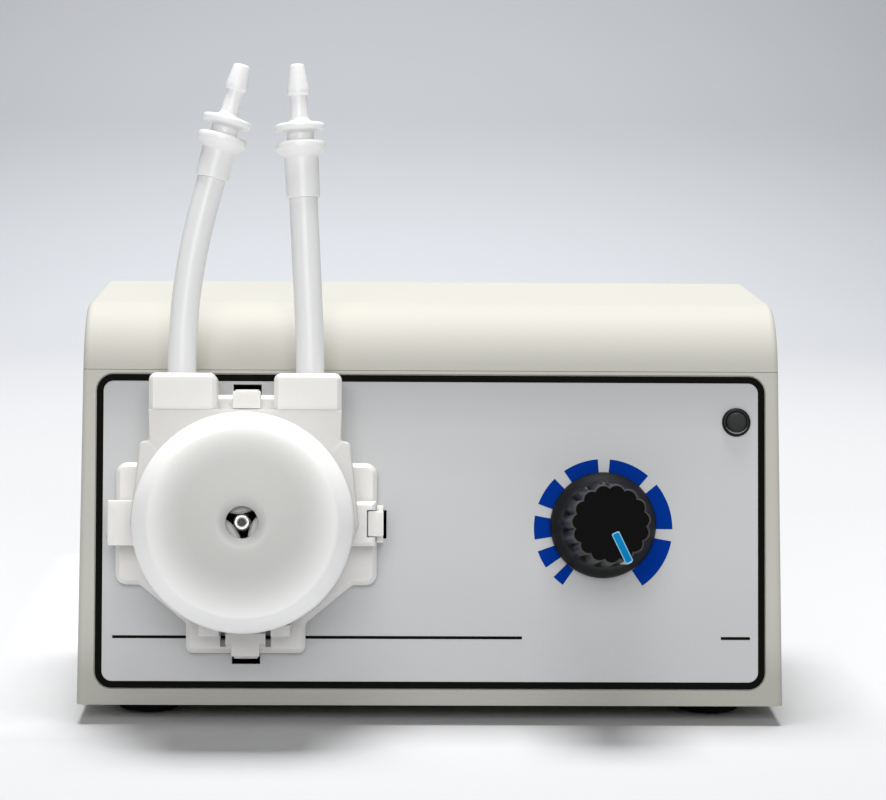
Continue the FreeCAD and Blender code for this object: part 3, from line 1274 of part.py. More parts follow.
def save_case():
    save("base_shell", base_shell())
    save("top_cover", top_cover())
    save("cover_screws", cover_screws())
    foot_y = -FRONT_Y - FOOT_INSET
    for name, x, y in (("front_left", -FOOT_X, -foot_y), ("front_right", FOOT_X, -foot_y),
                       ("rear_left", -FOOT_X, foot_y), ("rear_right", FOOT_X, foot_y)):
        save("foot_" + name, rubber_foot().translated(Vec(x, y, 0)))
    save("front_label", front_label(), PANEL)


def save_head():
    save("mount_plate", mount_plate(), HEAD)
    save("motor_screws", motor_screws(), HEAD)
    save("pump_housing", pump_housing(), HEAD)
    save("pump_cover", pump_cover(), HEAD)
    save("carrier_rear_plate", carrier_plate((CARRIER_BACK, CARRIER_BACK + CARRIER_PLATE)), HEAD)
    save("carrier_front_plate", carrier_plate((CARRIER_FRONT - CARRIER_PLATE, CARRIER_FRONT)), HEAD)
    save("roller_pins", roller_pins(), HEAD)
    for number, spot in enumerate(carrier_pins(), 1):
        save("roller_" + str(number), roller(spot), HEAD)
    save("pump_tube", pump_tube(), HEAD)
    left, right = both_tails()
    save("inlet_connector", connector(INLET_SLEEVE, INLET_BARB_TAPER, INLET_TIP), connector_place(left))
    save("outlet_connector", connector(OUTLET_SLEEVE, OUTLET_BARB_TAPER, OUTLET_TIP), connector_place(right))


def save_motor():
    save("motor_can", motor_can(), HEAD)
    save("motor_end_cap", motor_end_cap(), HEAD)
    save("motor_front_bush", bush(MOTOR_BOSS_HEIGHT - BUSH_LENGTH), HEAD)
    save("motor_rear_bush", bush(rear_bush_start()), HEAD)
    save("motor_magnets", motor_magnets(), HEAD)
    save("motor_terminals", Part.makeCompound(motor_terminal_bars()), HEAD)
    save("armature_core", armature_core(), HEAD)
    save("armature_windings", armature_windings(), HEAD)
    save("commutator", commutator(), HEAD)
    save("motor_shaft", motor_shaft(), HEAD)


def save_controls():
    save("pot_body", pot_body(), POT)
    save("pot_bush", pot_bush(), POT)
    save("pot_washer", pot_washer(), POT)
    save("pot_nut", pot_nut(), POT)
    save("pot_shaft", pot_shaft(), KNOB)
    save("speed_knob", speed_knob(), KNOB)
    save("knob_pointer", pointer_bar(), KNOB)
    save("power_light_bezel", power_light_bezel(), LIGHT)
    save("power_light_lens", power_light_lens(), LIGHT)


def save_electrics():
    save("control_board", control_board())
    save("board_screws", board_screws())
    save("board_capacitor", board_capacitor())
    save("board_transistor", board_transistor())
    save("board_terminals", board_terminals())
    save("board_chip", board_chip())
    save("dc_jack", dc_jack(), JACK)
    save("dc_jack_nut", dc_jack_nut(), JACK)


os.makedirs("parts", exist_ok=True)
save_case()
save_head()
save_motor()
save_controls()
save_electrics()
for shape_name, shape_sleeve, shape_tail in zip(("inlet", "outlet"), (INLET_SLEEVE, OUTLET_SLEEVE), both_tails()):
    spot = connector_place(shape_tail)
    print(shape_name, spot.multVec(Vec(0, 0, barb_height(shape_sleeve))), spot.Rotation.multVec(Z_AXIS))
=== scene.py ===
import json
import math

import bmesh
import bpy
from mathutils import Matrix, Vector


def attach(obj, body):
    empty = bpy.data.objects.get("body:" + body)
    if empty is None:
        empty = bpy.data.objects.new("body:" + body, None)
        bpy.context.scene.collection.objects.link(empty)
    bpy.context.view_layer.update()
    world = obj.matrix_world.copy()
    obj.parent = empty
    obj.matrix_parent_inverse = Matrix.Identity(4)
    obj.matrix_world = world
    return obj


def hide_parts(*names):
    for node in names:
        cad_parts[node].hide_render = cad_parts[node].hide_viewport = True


# Lengths are in millimetres until a mesh is placed; MM turns them into metres.
MM = 0.001
FAR = 1000.0
NEAR_AXIS = 1e-6

# Places of the front-mounted parts, as in the part's source
PANEL_LEAN = 9.25
FRONT_Y = -29.0
FLOOR_Z = 2.8
HEAD_PLACE = (-26.1, 25.6)
KNOB_PLACE = (24.35, 25.6)
LIGHT_PLACE = (43.4, 40.3)

# Printed label
LABEL_SIZE = (94.9, 44.4)
LABEL_UP = 24.6
LABEL_CORNER = 2.4
BORDER_WIDTH = 0.97
INK_THICKNESS = 0.02
LINE_UP = 9.6
LINE_WIDTH = 0.42
LINE_SPANS = ((-45.0, 12.95), (41.2, 45.35))
DIAL_CENTRE = (24.45, 25.15)
DIAL_OUTER = 9.85
DIAL_INNER = 7.2
DIAL_START = 234.5
DIAL_MARKS = 8
DIAL_FIRST_SWEEP = 10.0
DIAL_SWEEP_STEP = 5.0
DIAL_GAP = 10.0
DIAL_STEP = 3.0
DIAL_FEWEST_STEPS = 3

# Cover of the pump head, in the head's frame: drum, dome, dish with the centre hole, flat plate
DRUM_RADIUS = 15.2
DRUM_INNER_RADIUS = 13.0
DRUM_FRONT = 22.0
DRUM_BEVEL_WIDTH = 2.2
DRUM_BEVEL_DEPTH = 2.9
DRUM_BEVEL_OUTER_ROUND = 1.6
DRUM_BEVEL_INNER_ROUND = 0.9
DRUM_ARC_STEPS = 8
DOME_RADIUS = 70.4
DOME_WALL = 1.15
DOME_STEPS = 11
DOME_END_GAP = 0.3
INNER_DOME_STEPS = 5
INNER_DOME_START = 0.05
INNER_DOME_MARGIN = 2.6
INNER_CORNER_DROP = 4.6
COVER_HOLE = 2.2
COVER_DISH = 3.3
COVER_DISH_DEPTH = 0.8
DISH_EDGE_DROP = 0.13
HOLE_LIP_WIDTH = 0.12
HOLE_LIP_RISE = 0.1
HOLE_EDGE_DROP = 0.05
HOLE_WALL_END = 0.02
COVER_BACK = 9.0
COVER_FACE = 10.3
COVER_TOP = 15.79
COVER_EDGE = 0.4
COVER_EDGE_STEPS = ((0.0, 1.0), (0.1, 0.5), (0.4, 0.15), (1.0, 0.0))
COVER_ARC_STEPS = 40
RACEWAY_RADIUS = 10.95
CAVITY_TOP = 9.6
OUTLINE_RIGHT = ((14.9, -3.0), (15.9, 0.0), (14.6, 11.4), (13.4, 11.4), (13.4, COVER_TOP))
OUTLINE_RADII = (0.0, 0.0, 0.8, 0.35, 0.0)

# Noses of the two side clips, in the head's frame: start, end, width, top and turn.
# The left one is a cap over its whole lug.
CLIP_NOSES = {"clip_nose_right": (17.12, 19.32, 3.56, 8.2, 0.0),
              "clip_nose_left": (14.9, 19.06, 6.3, 8.7, 180.0)}
CLIP_NOSE_LOW = 6.05
CLIP_NOSE_EDGE = 0.12

# A black disc on the end of the motor shaft: painted shade standing in for the hollow in its end
SHAFT_SOCKET = ((0.0, 20.5), (0.68, 20.5), (0.68, 20.78), (0.0, 20.78))

# Tube tails, in the head's frame, and the connectors on them
TUBE_PLACE_X = 8.95
TUBE_HEIGHT = 7.2
LEFT_TAIL = {"side": -1, "start": 22.0, "bend": 22.0, "side_lean": 14.6, "straight": 4.68}
RIGHT_TAIL = {"side": 1, "start": 21.2, "bend": 8.0, "side_lean": -3.0, "straight": 16.45}
INLET_SHAPE = {"sleeve": 4.16, "taper": 2.94, "tip": 1.15}
OUTLET_SHAPE = {"sleeve": 5.8, "taper": 3.6, "tip": 0.98}
CONNECTORS = {"inlet_connector": (LEFT_TAIL, INLET_SHAPE), "outlet_connector": (RIGHT_TAIL, OUTLET_SHAPE)}

# Radii of a connector, from the mouth of its sleeve to its tip, and of its bore
CONNECTOR_SOCKET = 2.03
CONNECTOR_MOUTH = 2.37
CONNECTOR_SLEEVE = 2.42
CONNECTOR_FLANGE = 3.5
CONNECTOR_WAIST = 1.88
CONNECTOR_NECK = 1.25
CONNECTOR_NECK_TOP = 1.2
CONNECTOR_BARB = 1.55
CONNECTOR_BORE = 0.7

# Lengths along a connector
SOCKET_DEPTH = 3.8
FLANGE_TAPER = 1.1
FLANGE_RIM = 1.1
FLANGE_RIM_SLOPE = 0.06
WAIST_LENGTH = 1.2
TOP_FLANGE = 1.6
TOP_FLANGE_START = 0.3
TOP_FLANGE_END = 0.4
NECK_LENGTH = 3.8
BARB_LAND = 0.7
BARB_STEP_START = 0.15
BARB_STEP_END = 0.1

# Speed knob, in its own frame: radius and height of each ring, and the depth of its flutes
KNOB_ANGLE = -64.0
KNOB_LOBES = 15
LOBE_STEPS = 16
LOBE_SHARPNESS = 0.8
KNOB_HOLLOW = ((2.95, 14.0), (2.95, 4.2), (4.5, 4.2), (4.5, 2.9), (6.3, 2.9), (6.3, 0.9))
KNOB_SKIRT = ((7.35, 0.9), (7.5, 1.05), (7.5, 1.7), (7.4, 2.05), (7.15, 2.55), (6.8, 3.15), (6.45, 3.75),
              (6.2, 4.3), (6.05, 4.85))
KNOB_GRIP = ((6.0, 5.1, 0.1), (5.97, 5.35, 0.45), (5.94, 5.7, 0.75), (5.85, 8.0, 0.7), (5.7, 12.0, 0.58),
             (5.53, 16.1, 0.5), (5.5, 16.6, 0.5), (5.45, 16.85, 0.5), (5.36, 17.0, 0.5), (5.32, 17.0, 0.5),
             (5.3, 16.85, 0.5))
# The rim ring, lighter than the knob, is a painted highlight on its top edge
KNOB_RIM = ((5.27, 16.7, 0.5), (5.5, 16.7, 0.5), (5.53, 16.88, 0.5), (5.46, 17.03, 0.5), (5.34, 17.05, 0.5),
            (5.27, 16.95, 0.5))
KNOB_CAP = ((5.28, 16.75, 0.5), (5.28, 16.93, 0.5), (5.24, 16.98, 0.5))

# Pointer in the knob's top, along the knob's own X
POINTER_WIDTH = 1.15
POINTER_START = 1.3
POINTER_END = 5.9
POINTER_LOW = 16.4
POINTER_TOP = 17.15
# The pointer's pale rim round its blue inlay, POINTER_FRAME wide, is a painted highlight on its edges
POINTER_RIM_DROP = 0.03
POINTER_RIM_EDGE = 0.1
POINTER_FRAME = 0.14
POINTER_INLAY_EDGE = 0.03
POINTER_FLANK_START = 5.0
POINTER_FLANK_OUT = 6.0
POINTER_FLANK_LOW = 5.2
POINTER_FLANK_DROP = 0.4
POINTER_FLANK_MARGIN = 0.2
POINTER_FLANK_EDGE = 0.3
BAR_CORNER = 0.22
BAR_CORNER_STEPS = 4

# Power light, in its own frame
BEZEL_PROFILE = ((1.46, -5.0), (1.46, 0.55), (2.0, 0.55), (2.0, -2.0), (2.9, -2.0), (2.9, -2.9), (2.0, -2.9),
                 (2.0, -5.5), (1.46, -5.5))
BEZEL_RADII = (0.0, 0.12, 0.25, 0.0, 0.0, 0.0, 0.0, 0.0, 0.0)
LENS_PROFILE = ((0.0, -5.0), (1.46, -5.0), (1.46, 0.9), (0.0, 0.9))
LENS_RADII = (0.0, 0.0, 0.6, 0.0)
# A pale crescent round the lens's lower edge: a painted reflection
GLINT_START = 205.0
GLINT_END = 335.0
GLINT_RADIUS = 1.64
GLINT_WIDTH = 0.14
GLINT_TIP_WIDTH = 0.02
GLINT_LOW = 0.4
GLINT_HIGH = 0.58
GLINT_STEPS = 24

# Rubber feet
FOOT_PROFILE = ((0.0, 0.0), (2.8, 0.0), (4.6, 0.5), (5.0, 2.2), (5.0, 2.8), (0.0, 2.8))
FOOT_RADII = (0.0, 0.3, 1.2, 0.3, 0.0, 0.0)
FOOT_PLACES = {"front_left": (-40.4, -17.7), "front_right": (40.4, -17.7), "rear_left": (-40.4, 17.7),
               "rear_right": (40.4, 17.7)}

# Fineness of round forms
ROUND_STEPS = 96
ARC_STEPS = 6
CORNER_STEPS = 10
SHARP_ANGLE = 38.0

# Moulded parts whose outer edges are softened: node, piece, slot and width of the edge
SOFT_EDGES = (("base_shell", "case_shell", "case_plastic", 0.25),
              ("top_cover", "case_lid", "case_plastic", 0.25),
              ("pump_housing", "head_housing", "head_plastic", 0.3),
              ("mount_plate", "head_plate", "head_plastic", 0.2))
SOFT_ANGLE = 35.0
SOFT_STEPS = 3
SOFT_ROUNDNESS = 0.5
WELD_DISTANCE = 0.001
FLAT_ANGLE = 0.5

# Edges that stay sharp: the case's seam, which closes a little, and the foot of the tube sockets
SEAM_UP_PANEL = 47.4
SEAM_BAND = 0.2
SEAM_RISE = 0.09
SOCKET_FOOT = 15.8
SOCKET_FOOT_BAND = 0.06

# Surfaces: tones of case and label over a band of height in metres, which are painted shade, then grain,
# mottle and depth
CASE_BAND = (0.0, 0.07)
# Painted shade: the case darker towards the floor over its lowest 17 mm
CASE_SHADE_TONES = ((0.0, 0.42), (0.1, 0.43), (0.16, 0.52), (0.25, 0.55), (0.8, 0.55), (1.0, 0.56))
CASE_TINT = (1.0, 0.982, 0.885)
LABEL_BAND = (0.0125, 0.0573)
# Painted shade: the label lightest a little below its middle, darker towards its top
LABEL_SHADE_TONES = ((0.0, 0.54), (0.12, 0.55), (0.26, 0.575), (0.48, 0.59), (0.64, 0.56), (0.78, 0.45),
               (1.0, 0.42))
LABEL_TINT = (0.985, 1.0, 1.01)
SUBSURFACE_RADIUS = (1.0, 0.97, 0.92)
CLEAR_SUBSURFACE_RADIUS = (1.0, 1.0, 1.0)
SUBSURFACE_SCALE = 0.001
GRAIN_SCALE = 2500.0
GRAIN_DETAIL = 4.0
GRAIN_HEIGHT = 0.15
GRAIN_DISTANCE = 0.0001
MOTTLE_SCALE = 60.0
MOTTLE_DETAIL = 3.0
MOTTLE_RANGE = (0.3, 0.7)
CLEAR_MOTTLE_SCALE = 120.0
CLEAR_MOTTLE_SPREAD = 0.01
CLEAR_GRAIN_SCALE = 900.0
CLEAR_GRAIN_HEIGHT = 0.05
# Painted light and shade on the head's cover: a lighter rim and a darker middle
COVER_SHADED_CENTRE_COLOUR = (0.61, 0.61, 0.585)
COVER_LIT_RIM_COLOUR = (0.94, 0.93, 0.91)
COVER_SHADE_UP = 0.8
COVER_SHADE_DEPTH = 1.0
COVER_SHADE_RANGE = (0.04, 0.5)
COVER_GRAIN_HEIGHT = 0.12
COVER_SUBSURFACE = 0.8
COVER_SUBSURFACE_SCALE = 0.003

# Floor and backdrop, in metres: the sweep's shape, then its tone along the sweep and across it, which paints
# light and shade
STAGE_FRONT = (-1.6, -0.6, -0.3)
STAGE_FINE_START = -0.12
STAGE_FINE_STEP = 0.02
STAGE_FINE_COUNT = 32
STAGE_BEND_START = 0.5
STAGE_BEND_RADIUS = 0.35
STAGE_BEND_ANGLE = 2.0
STAGE_BEND_COUNT = 45
STAGE_TOP = 1.8
STAGE_REACH = 2.2
STAGE_COLUMNS = 10
# Painted light and shade: the floor lighter towards the back, the backdrop darker upwards
STAGE_TONES = ((-0.6, 0.585), (-0.045, 0.585), (-0.02, 0.61), (0.07, 0.635), (0.19, 0.62), (0.37, 0.67),
               (0.56, 0.71), (0.61, 0.695), (0.65, 0.67), (0.70, 0.61), (0.75, 0.535), (0.80, 0.53),
               (0.84, 0.51), (1.3, 0.47))
# A painted pool of light on the floor beside the case's left side
STAGE_LIGHT_POOL = 0.3
STAGE_LIGHT_POOL_X = -0.048
STAGE_LIGHT_POOL_WIDTH = 0.019
STAGE_LIGHT_POOL_Y = (-0.02, 0.12)
STAGE_MIDDLE = -0.01
STAGE_HALF = 0.19
STAGE_SIDE_DROP = 0.2
STAGE_SIDE_START = 0.25
STAGE_SIDE_FULL = 0.61
STAGE_SIDE_LIMIT = 1.5
STAGE_RED = 0.995
STAGE_RED_LOSS = 0.02
STAGE_BLUE = 1.015
STAGE_BLUE_GAIN = 0.035
STAGE_ROUGHNESS = 0.9

# Lamps: place, target, size and power
LAMPS = {"top_light": ((0.0, 0.12, 0.9), (0.0, 0.0, 0.0), (0.42, 0.45), 10.8),
         "front_light": ((-0.03, -1.0, 0.45), (0.0, 0.0, 0.03), (0.6, 0.35), 4.6)}
WORLD_STRENGTH = 0.2

# Camera, in the row frame
CAMERA_PLACE = (-9.91, -515.86, 102.69)
CAMERA_PITCH = 6.60
CAMERA_YAW = 1.34
CAMERA_ROLL = 0.42
CAMERA_LENS = 142.2
CAMERA_SENSOR = 36.0
CAMERA_NEAR = 0.01
CAMERA_FAR = 20.0

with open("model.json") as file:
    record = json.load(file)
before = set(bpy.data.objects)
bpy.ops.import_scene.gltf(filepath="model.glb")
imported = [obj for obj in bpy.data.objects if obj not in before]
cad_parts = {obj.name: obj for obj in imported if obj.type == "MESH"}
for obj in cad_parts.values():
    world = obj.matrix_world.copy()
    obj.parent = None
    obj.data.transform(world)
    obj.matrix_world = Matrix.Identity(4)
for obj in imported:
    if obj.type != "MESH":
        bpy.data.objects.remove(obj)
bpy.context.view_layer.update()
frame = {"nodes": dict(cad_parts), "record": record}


# Placement

def panel_matrix(across, up, spin=0.0):
    """From a frame on the front panel, in millimetres, to the row frame, in metres."""
    turn = Matrix.Rotation(math.radians(90.0 - PANEL_LEAN), 4, "X")
    corner = Matrix.Translation((0.0, FRONT_Y * MM, FLOOR_Z * MM))
    place = Matrix.Translation((across * MM, up * MM, 0.0)) @ Matrix.Rotation(math.radians(spin), 4, "Z")
    return corner @ turn @ place @ Matrix.Scale(MM, 4)


def add_piece(name, mesh_data, matrix, body, material):
    """A smooth piece from vertices and faces, which moves with a body."""
    vertices, faces = mesh_data
    mesh = bpy.data.meshes.new(name)
    mesh.from_pydata([matrix @ Vector(v) for v in vertices], [], faces)
    mesh.validate()
    working = bmesh.new()
    working.from_mesh(mesh)
    bmesh.ops.recalc_face_normals(working, faces=working.faces)
    working.to_mesh(mesh)
    working.free()
    for polygon in mesh.polygons:
        polygon.use_smooth = True
    mesh.set_sharp_from_angle(angle=math.radians(SHARP_ANGLE))
    piece = bpy.data.objects.new(name, mesh)
    weights = piece.modifiers.new("face_weights", "WEIGHTED_NORMAL")
    weights.keep_sharp = True
    bpy.context.scene.collection.objects.link(piece)
    mesh.materials.append(material)
    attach(piece, body)
    return piece


def on_plane(edge, plane):
    """Whether an edge lies on a plane, given as a normal, a distance and a tolerance in metres."""
    normal, distance, tolerance = plane
    return all(abs(vertex.co.dot(normal) - distance) < tolerance for vertex in edge.verts)


def softened(node, width, left_sharp, rise=0.0):
    """A copy of a node's skin with its outer edges rounded, but for those on one plane, which can rise."""
    working = bmesh.new()
    working.from_mesh(frame["nodes"][node].data)
    bmesh.ops.remove_doubles(working, verts=working.verts, dist=WELD_DISTANCE * MM)
    bmesh.ops.dissolve_limit(working, angle_limit=math.radians(FLAT_ANGLE), verts=working.verts,
                             edges=working.edges)
    normal, distance, tolerance = left_sharp
    for vertex in working.verts:
        if rise > 0.0 and abs(vertex.co.dot(normal) - distance) < tolerance:
            vertex.co += normal * rise
    edges = []
    for edge in working.edges:
        bent = edge.is_manifold and edge.is_convex and edge.calc_face_angle() > math.radians(SOFT_ANGLE)
        if bent and not on_plane(edge, left_sharp):
            edges.append(edge)
    bmesh.ops.bevel(working, geom=edges, offset=width * MM, offset_type="OFFSET", segments=SOFT_STEPS,
                    profile=SOFT_ROUNDNESS, affect="EDGES", clamp_overlap=True)
    working.verts.index_update()
    vertices = [tuple(vertex.co) for vertex in working.verts]
    faces = [[vertex.index for vertex in face.verts] for face in working.faces]
    working.free()
    return vertices, faces


# Flat printed forms

def rounded_rectangle(width, height, radius, centre, steps=CORNER_STEPS):
    points = []
    for quarter, (sx, sy) in enumerate(((1, 1), (-1, 1), (-1, -1), (1, -1))):
        cx = centre[0] + sx * (width / 2 - radius)
        cy = centre[1] + sy * (height / 2 - radius)
        for k in range(steps + 1):
            angle = math.radians(90.0 * quarter + 90.0 * k / steps)
            points.append((cx + radius * math.cos(angle), cy + radius * math.sin(angle)))
    return points


def strip_between(outer, inner, low, high, closed=True):
    """A thin closed solid between two matching outlines."""
    count = len(outer)
    vertices = []
    for z in (low, high):
        vertices += [(x, y, z) for x, y in outer]
        vertices += [(x, y, z) for x, y in inner]
    o_low, i_low, o_high, i_high = 0, count, 2 * count, 3 * count
    faces = []
    last = count if closed else count - 1
    for k in range(last):
        n = (k + 1) % count
        faces.append((o_high + k, o_high + n, i_high + n, i_high + k))
        faces.append((o_low + n, o_low + k, i_low + k, i_low + n))
        faces.append((o_low + k, o_low + n, o_high + n, o_high + k))
        faces.append((i_low + n, i_low + k, i_high + k, i_high + n))
    if not closed:
        end = count - 1
        faces.append((o_low, o_high, i_high, i_low))
        faces.append((o_low + end, i_low + end, i_high + end, o_high + end))
    return vertices, faces


def label_border():
    centre = (0.0, LABEL_UP)
    outer = rounded_rectangle(LABEL_SIZE[0], LABEL_SIZE[1], LABEL_CORNER, centre)
    inner = rounded_rectangle(LABEL_SIZE[0] - 2 * BORDER_WIDTH, LABEL_SIZE[1] - 2 * BORDER_WIDTH,
                              LABEL_CORNER - BORDER_WIDTH, centre)
    return strip_between(outer, inner, 0.0, INK_THICKNESS)


def label_line(span):
    low = LINE_UP - LINE_WIDTH / 2
    high = LINE_UP + LINE_WIDTH / 2
    return strip_between([(span[0], high), (span[1], high)], [(span[0], low), (span[1], low)],
                         0.0, INK_THICKNESS, closed=False)


def dial_mark(start, sweep):
    steps = max(DIAL_FEWEST_STEPS, round(sweep / DIAL_STEP))
    angles = [math.radians(start - sweep * k / steps) for k in range(steps + 1)]
    outer = [(DIAL_OUTER * math.cos(a), DIAL_OUTER * math.sin(a)) for a in angles]
    inner = [(DIAL_INNER * math.cos(a), DIAL_INNER * math.sin(a)) for a in angles]
    return strip_between(inner, outer, 0.0, INK_THICKNESS, closed=False)


# Turned and lofted forms

def rounded_profile(corners, radii, steps=ARC_STEPS):
    """A closed profile with an arc at each corner that has a radius."""
    points = []
    for i, corner in enumerate(corners):
        here = Vector(corner)
        if radii[i] <= 0:
            points.append((here.x, here.y))
            continue
        back = (Vector(corners[i - 1]) - here).normalized()
        ahead = (Vector(corners[(i + 1) % len(corners)]) - here).normalized()
        half = back.angle(ahead) / 2
        centre = here + (back + ahead).normalized() * (radii[i] / math.sin(half))
        first = here + back * (radii[i] / math.tan(half)) - centre
        last = here + ahead * (radii[i] / math.tan(half)) - centre
        start = math.atan2(first.y, first.x)
        sweep = (math.atan2(last.y, last.x) - start + math.pi) % (2 * math.pi) - math.pi
        for k in range(steps + 1):
            angle = start + sweep * k / steps
            points.append((centre.x + radii[i] * math.cos(angle), centre.y + radii[i] * math.sin(angle)))
    return points


def loft(rings, wrap):
    """Join rings of points, each with the same count or a single point, into one skin."""
    vertices = []
    starts = []
    for ring in rings:
        starts.append(len(vertices))
        vertices += ring
    pairs = [(i, i + 1) for i in range(len(rings) - 1)]
    if wrap:
        pairs.append((len(rings) - 1, 0))
    faces = []
    for a, b in pairs:
        count = max(len(rings[a]), len(rings[b]))
        for k in range(count if count > 1 else 0):
            corners = []
            for ring, step in ((a, k), (a, k + 1), (b, k + 1), (b, k)):
                index = starts[ring] + step % len(rings[ring])
                if index not in corners:
                    corners.append(index)
            faces.append(tuple(corners))
    return vertices, faces


def circle_ring(radius, height):
    if radius < NEAR_AXIS:
        return [(0.0, 0.0, height)]
    angles = [2 * math.pi * k / ROUND_STEPS for k in range(ROUND_STEPS)]
    return [(radius * math.cos(a), radius * math.sin(a), height) for a in angles]


def turned(profile):
    on_axis = any(radius < NEAR_AXIS for radius, height in profile)
    return loft([circle_ring(radius, height) for radius, height in profile], wrap=not on_axis)


def drum_profile():
    """The domed front of the cover: outside from its foot to the hole, then back along the inside."""
    centre = DRUM_FRONT - DOME_RADIUS
    reach = DRUM_RADIUS - DRUM_BEVEL_WIDTH
    edge = centre + math.sqrt(DOME_RADIUS ** 2 - reach ** 2)
    corners = [(DRUM_RADIUS, COVER_BACK), (DRUM_RADIUS, edge - DRUM_BEVEL_DEPTH), (reach, edge)]
    radii = [0.0, DRUM_BEVEL_OUTER_ROUND, DRUM_BEVEL_INNER_ROUND]
    for k in range(1, DOME_STEPS + 1):
        across = reach + (COVER_DISH + DOME_END_GAP - reach) * k / DOME_STEPS
        corners.append((across, centre + math.sqrt(DOME_RADIUS ** 2 - across ** 2)))
    corners += [(COVER_DISH, DRUM_FRONT - DISH_EDGE_DROP),
                (COVER_HOLE + HOLE_LIP_WIDTH, DRUM_FRONT - COVER_DISH_DEPTH + HOLE_LIP_RISE),
                (COVER_HOLE, DRUM_FRONT - COVER_DISH_DEPTH - HOLE_EDGE_DROP),
                (COVER_HOLE, DRUM_FRONT - DOME_WALL - HOLE_WALL_END)]
    inner = DOME_RADIUS - DOME_WALL
    inner_run = DRUM_INNER_RADIUS - INNER_DOME_MARGIN - COVER_HOLE
    for k in range(INNER_DOME_STEPS + 1):
        across = COVER_HOLE + INNER_DOME_START + inner_run * k / INNER_DOME_STEPS
        corners.append((across, centre + math.sqrt(inner ** 2 - across ** 2)))
    corners += [(DRUM_INNER_RADIUS, DRUM_FRONT - DOME_WALL - INNER_CORNER_DROP),
                (DRUM_INNER_RADIUS, COVER_BACK)]
    radii += [0.0] * (len(corners) - len(radii))
    return rounded_profile(corners, radii, DRUM_ARC_STEPS)


def connector_profile(sleeve, taper, tip):
    """A hose connector along its axis: sleeve, two flanges, neck and barb.

    Each corner is a radius, a height above the sleeve's mouth and a rounding.
    """
    rim = sleeve + FLANGE_TAPER
    waist = rim + FLANGE_RIM
    top = waist + WAIST_LENGTH
    neck = top + TOP_FLANGE
    barb = neck + NECK_LENGTH
    land = barb + BARB_LAND
    end = land + taper
    corners = ((CONNECTOR_SOCKET, 0.0, 0.0), (CONNECTOR_MOUTH, 0.0, 0.12), (CONNECTOR_SLEEVE, sleeve, 0.7),
               (CONNECTOR_FLANGE, rim, 0.5), (CONNECTOR_FLANGE, waist - FLANGE_RIM_SLOPE, 0.5),
               (CONNECTOR_WAIST, waist, 0.3), (CONNECTOR_WAIST, top, 0.3),
               (CONNECTOR_FLANGE, top + TOP_FLANGE_START, 0.45),
               (CONNECTOR_FLANGE, neck - TOP_FLANGE_END, 0.4),
               (CONNECTOR_NECK, neck, 0.9), (CONNECTOR_NECK_TOP, barb - BARB_STEP_START, 0.1),
               (CONNECTOR_BARB, barb + BARB_STEP_END, 0.25), (CONNECTOR_BARB, land, 0.5), (tip, end, 0.4),
               (CONNECTOR_BORE, end, 0.1), (CONNECTOR_BORE, SOCKET_DEPTH, 0.0),
               (CONNECTOR_SOCKET, SOCKET_DEPTH, 0.0))
    return rounded_profile([corner[:2] for corner in corners], [corner[2] for corner in corners])


def cover_plate():
    """The flat part of the cover behind the drum, with a soft front edge and an open middle."""
    right = rounded_profile(OUTLINE_RIGHT, OUTLINE_RADII)
    left = [(-x, y) for x, y in reversed(right)]
    turn = math.atan2(OUTLINE_RIGHT[0][1], OUTLINE_RIGHT[0][0])
    bottom = []
    for k in range(1, COVER_ARC_STEPS):
        angle = math.pi - turn + (math.pi + 2 * turn) * k / COVER_ARC_STEPS
        bottom.append((DRUM_RADIUS * math.cos(angle), DRUM_RADIUS * math.sin(angle)))
    outline = right + left + bottom

    def ring(inset, height):
        points = []
        for x, y in outline:
            share = 0.0 if y > COVER_TOP - COVER_EDGE else inset / math.hypot(x, y)
            points.append((x * (1 - share), y * (1 - share), height))
        return points

    def hole(height):
        points = []
        for x, y in outline:
            reach = RACEWAY_RADIUS / math.hypot(x, y)
            if y > 0:
                reach = min(CAVITY_TOP / y, RACEWAY_RADIUS / abs(x) if abs(x) > NEAR_AXIS else FAR)
            points.append((x * reach, y * reach, height))
        return points

    rings = [ring(0.0, COVER_BACK)]
    rings += [ring(inset * COVER_EDGE, COVER_FACE - drop * COVER_EDGE) for inset, drop in COVER_EDGE_STEPS]
    rings += [hole(COVER_FACE), hole(COVER_BACK)]
    return loft(rings, wrap=True)


def lobed_ring(radius, height, depth):
    count = KNOB_LOBES * LOBE_STEPS
    points = []
    for k in range(count):
        turn = 2 * math.pi * k / count
        reach = radius - depth * (1 - abs(math.cos(KNOB_LOBES * turn / 2)) ** LOBE_SHARPNESS)
        points.append((reach * math.cos(turn), reach * math.sin(turn), height))
    return points


def knob_body():
    rings = [[(0.0, 0.0, KNOB_HOLLOW[0][1])]]
    rings += [lobed_ring(radius, height, 0.0) for radius, height in KNOB_HOLLOW + KNOB_SKIRT]
    rings += [lobed_ring(radius, height, depth) for radius, height, depth in KNOB_GRIP]
    rings.append([(0.0, 0.0, KNOB_GRIP[-1][1])])
    return loft(rings, wrap=False)


def lens_glint():
    """A thin pale crescent round the lower edge of the lens: a painted reflection."""
    outer = []
    inner = []
    for k in range(GLINT_STEPS + 1):
        angle = math.radians(GLINT_START + (GLINT_END - GLINT_START) * k / GLINT_STEPS)
        width = GLINT_WIDTH * math.sin(math.pi * k / GLINT_STEPS) + GLINT_TIP_WIDTH
        outer.append((GLINT_RADIUS * math.cos(angle), GLINT_RADIUS * math.sin(angle)))
        inner.append(((GLINT_RADIUS - width) * math.cos(angle), (GLINT_RADIUS - width) * math.sin(angle)))
    return strip_between(outer, inner, GLINT_LOW, GLINT_HIGH, closed=False)


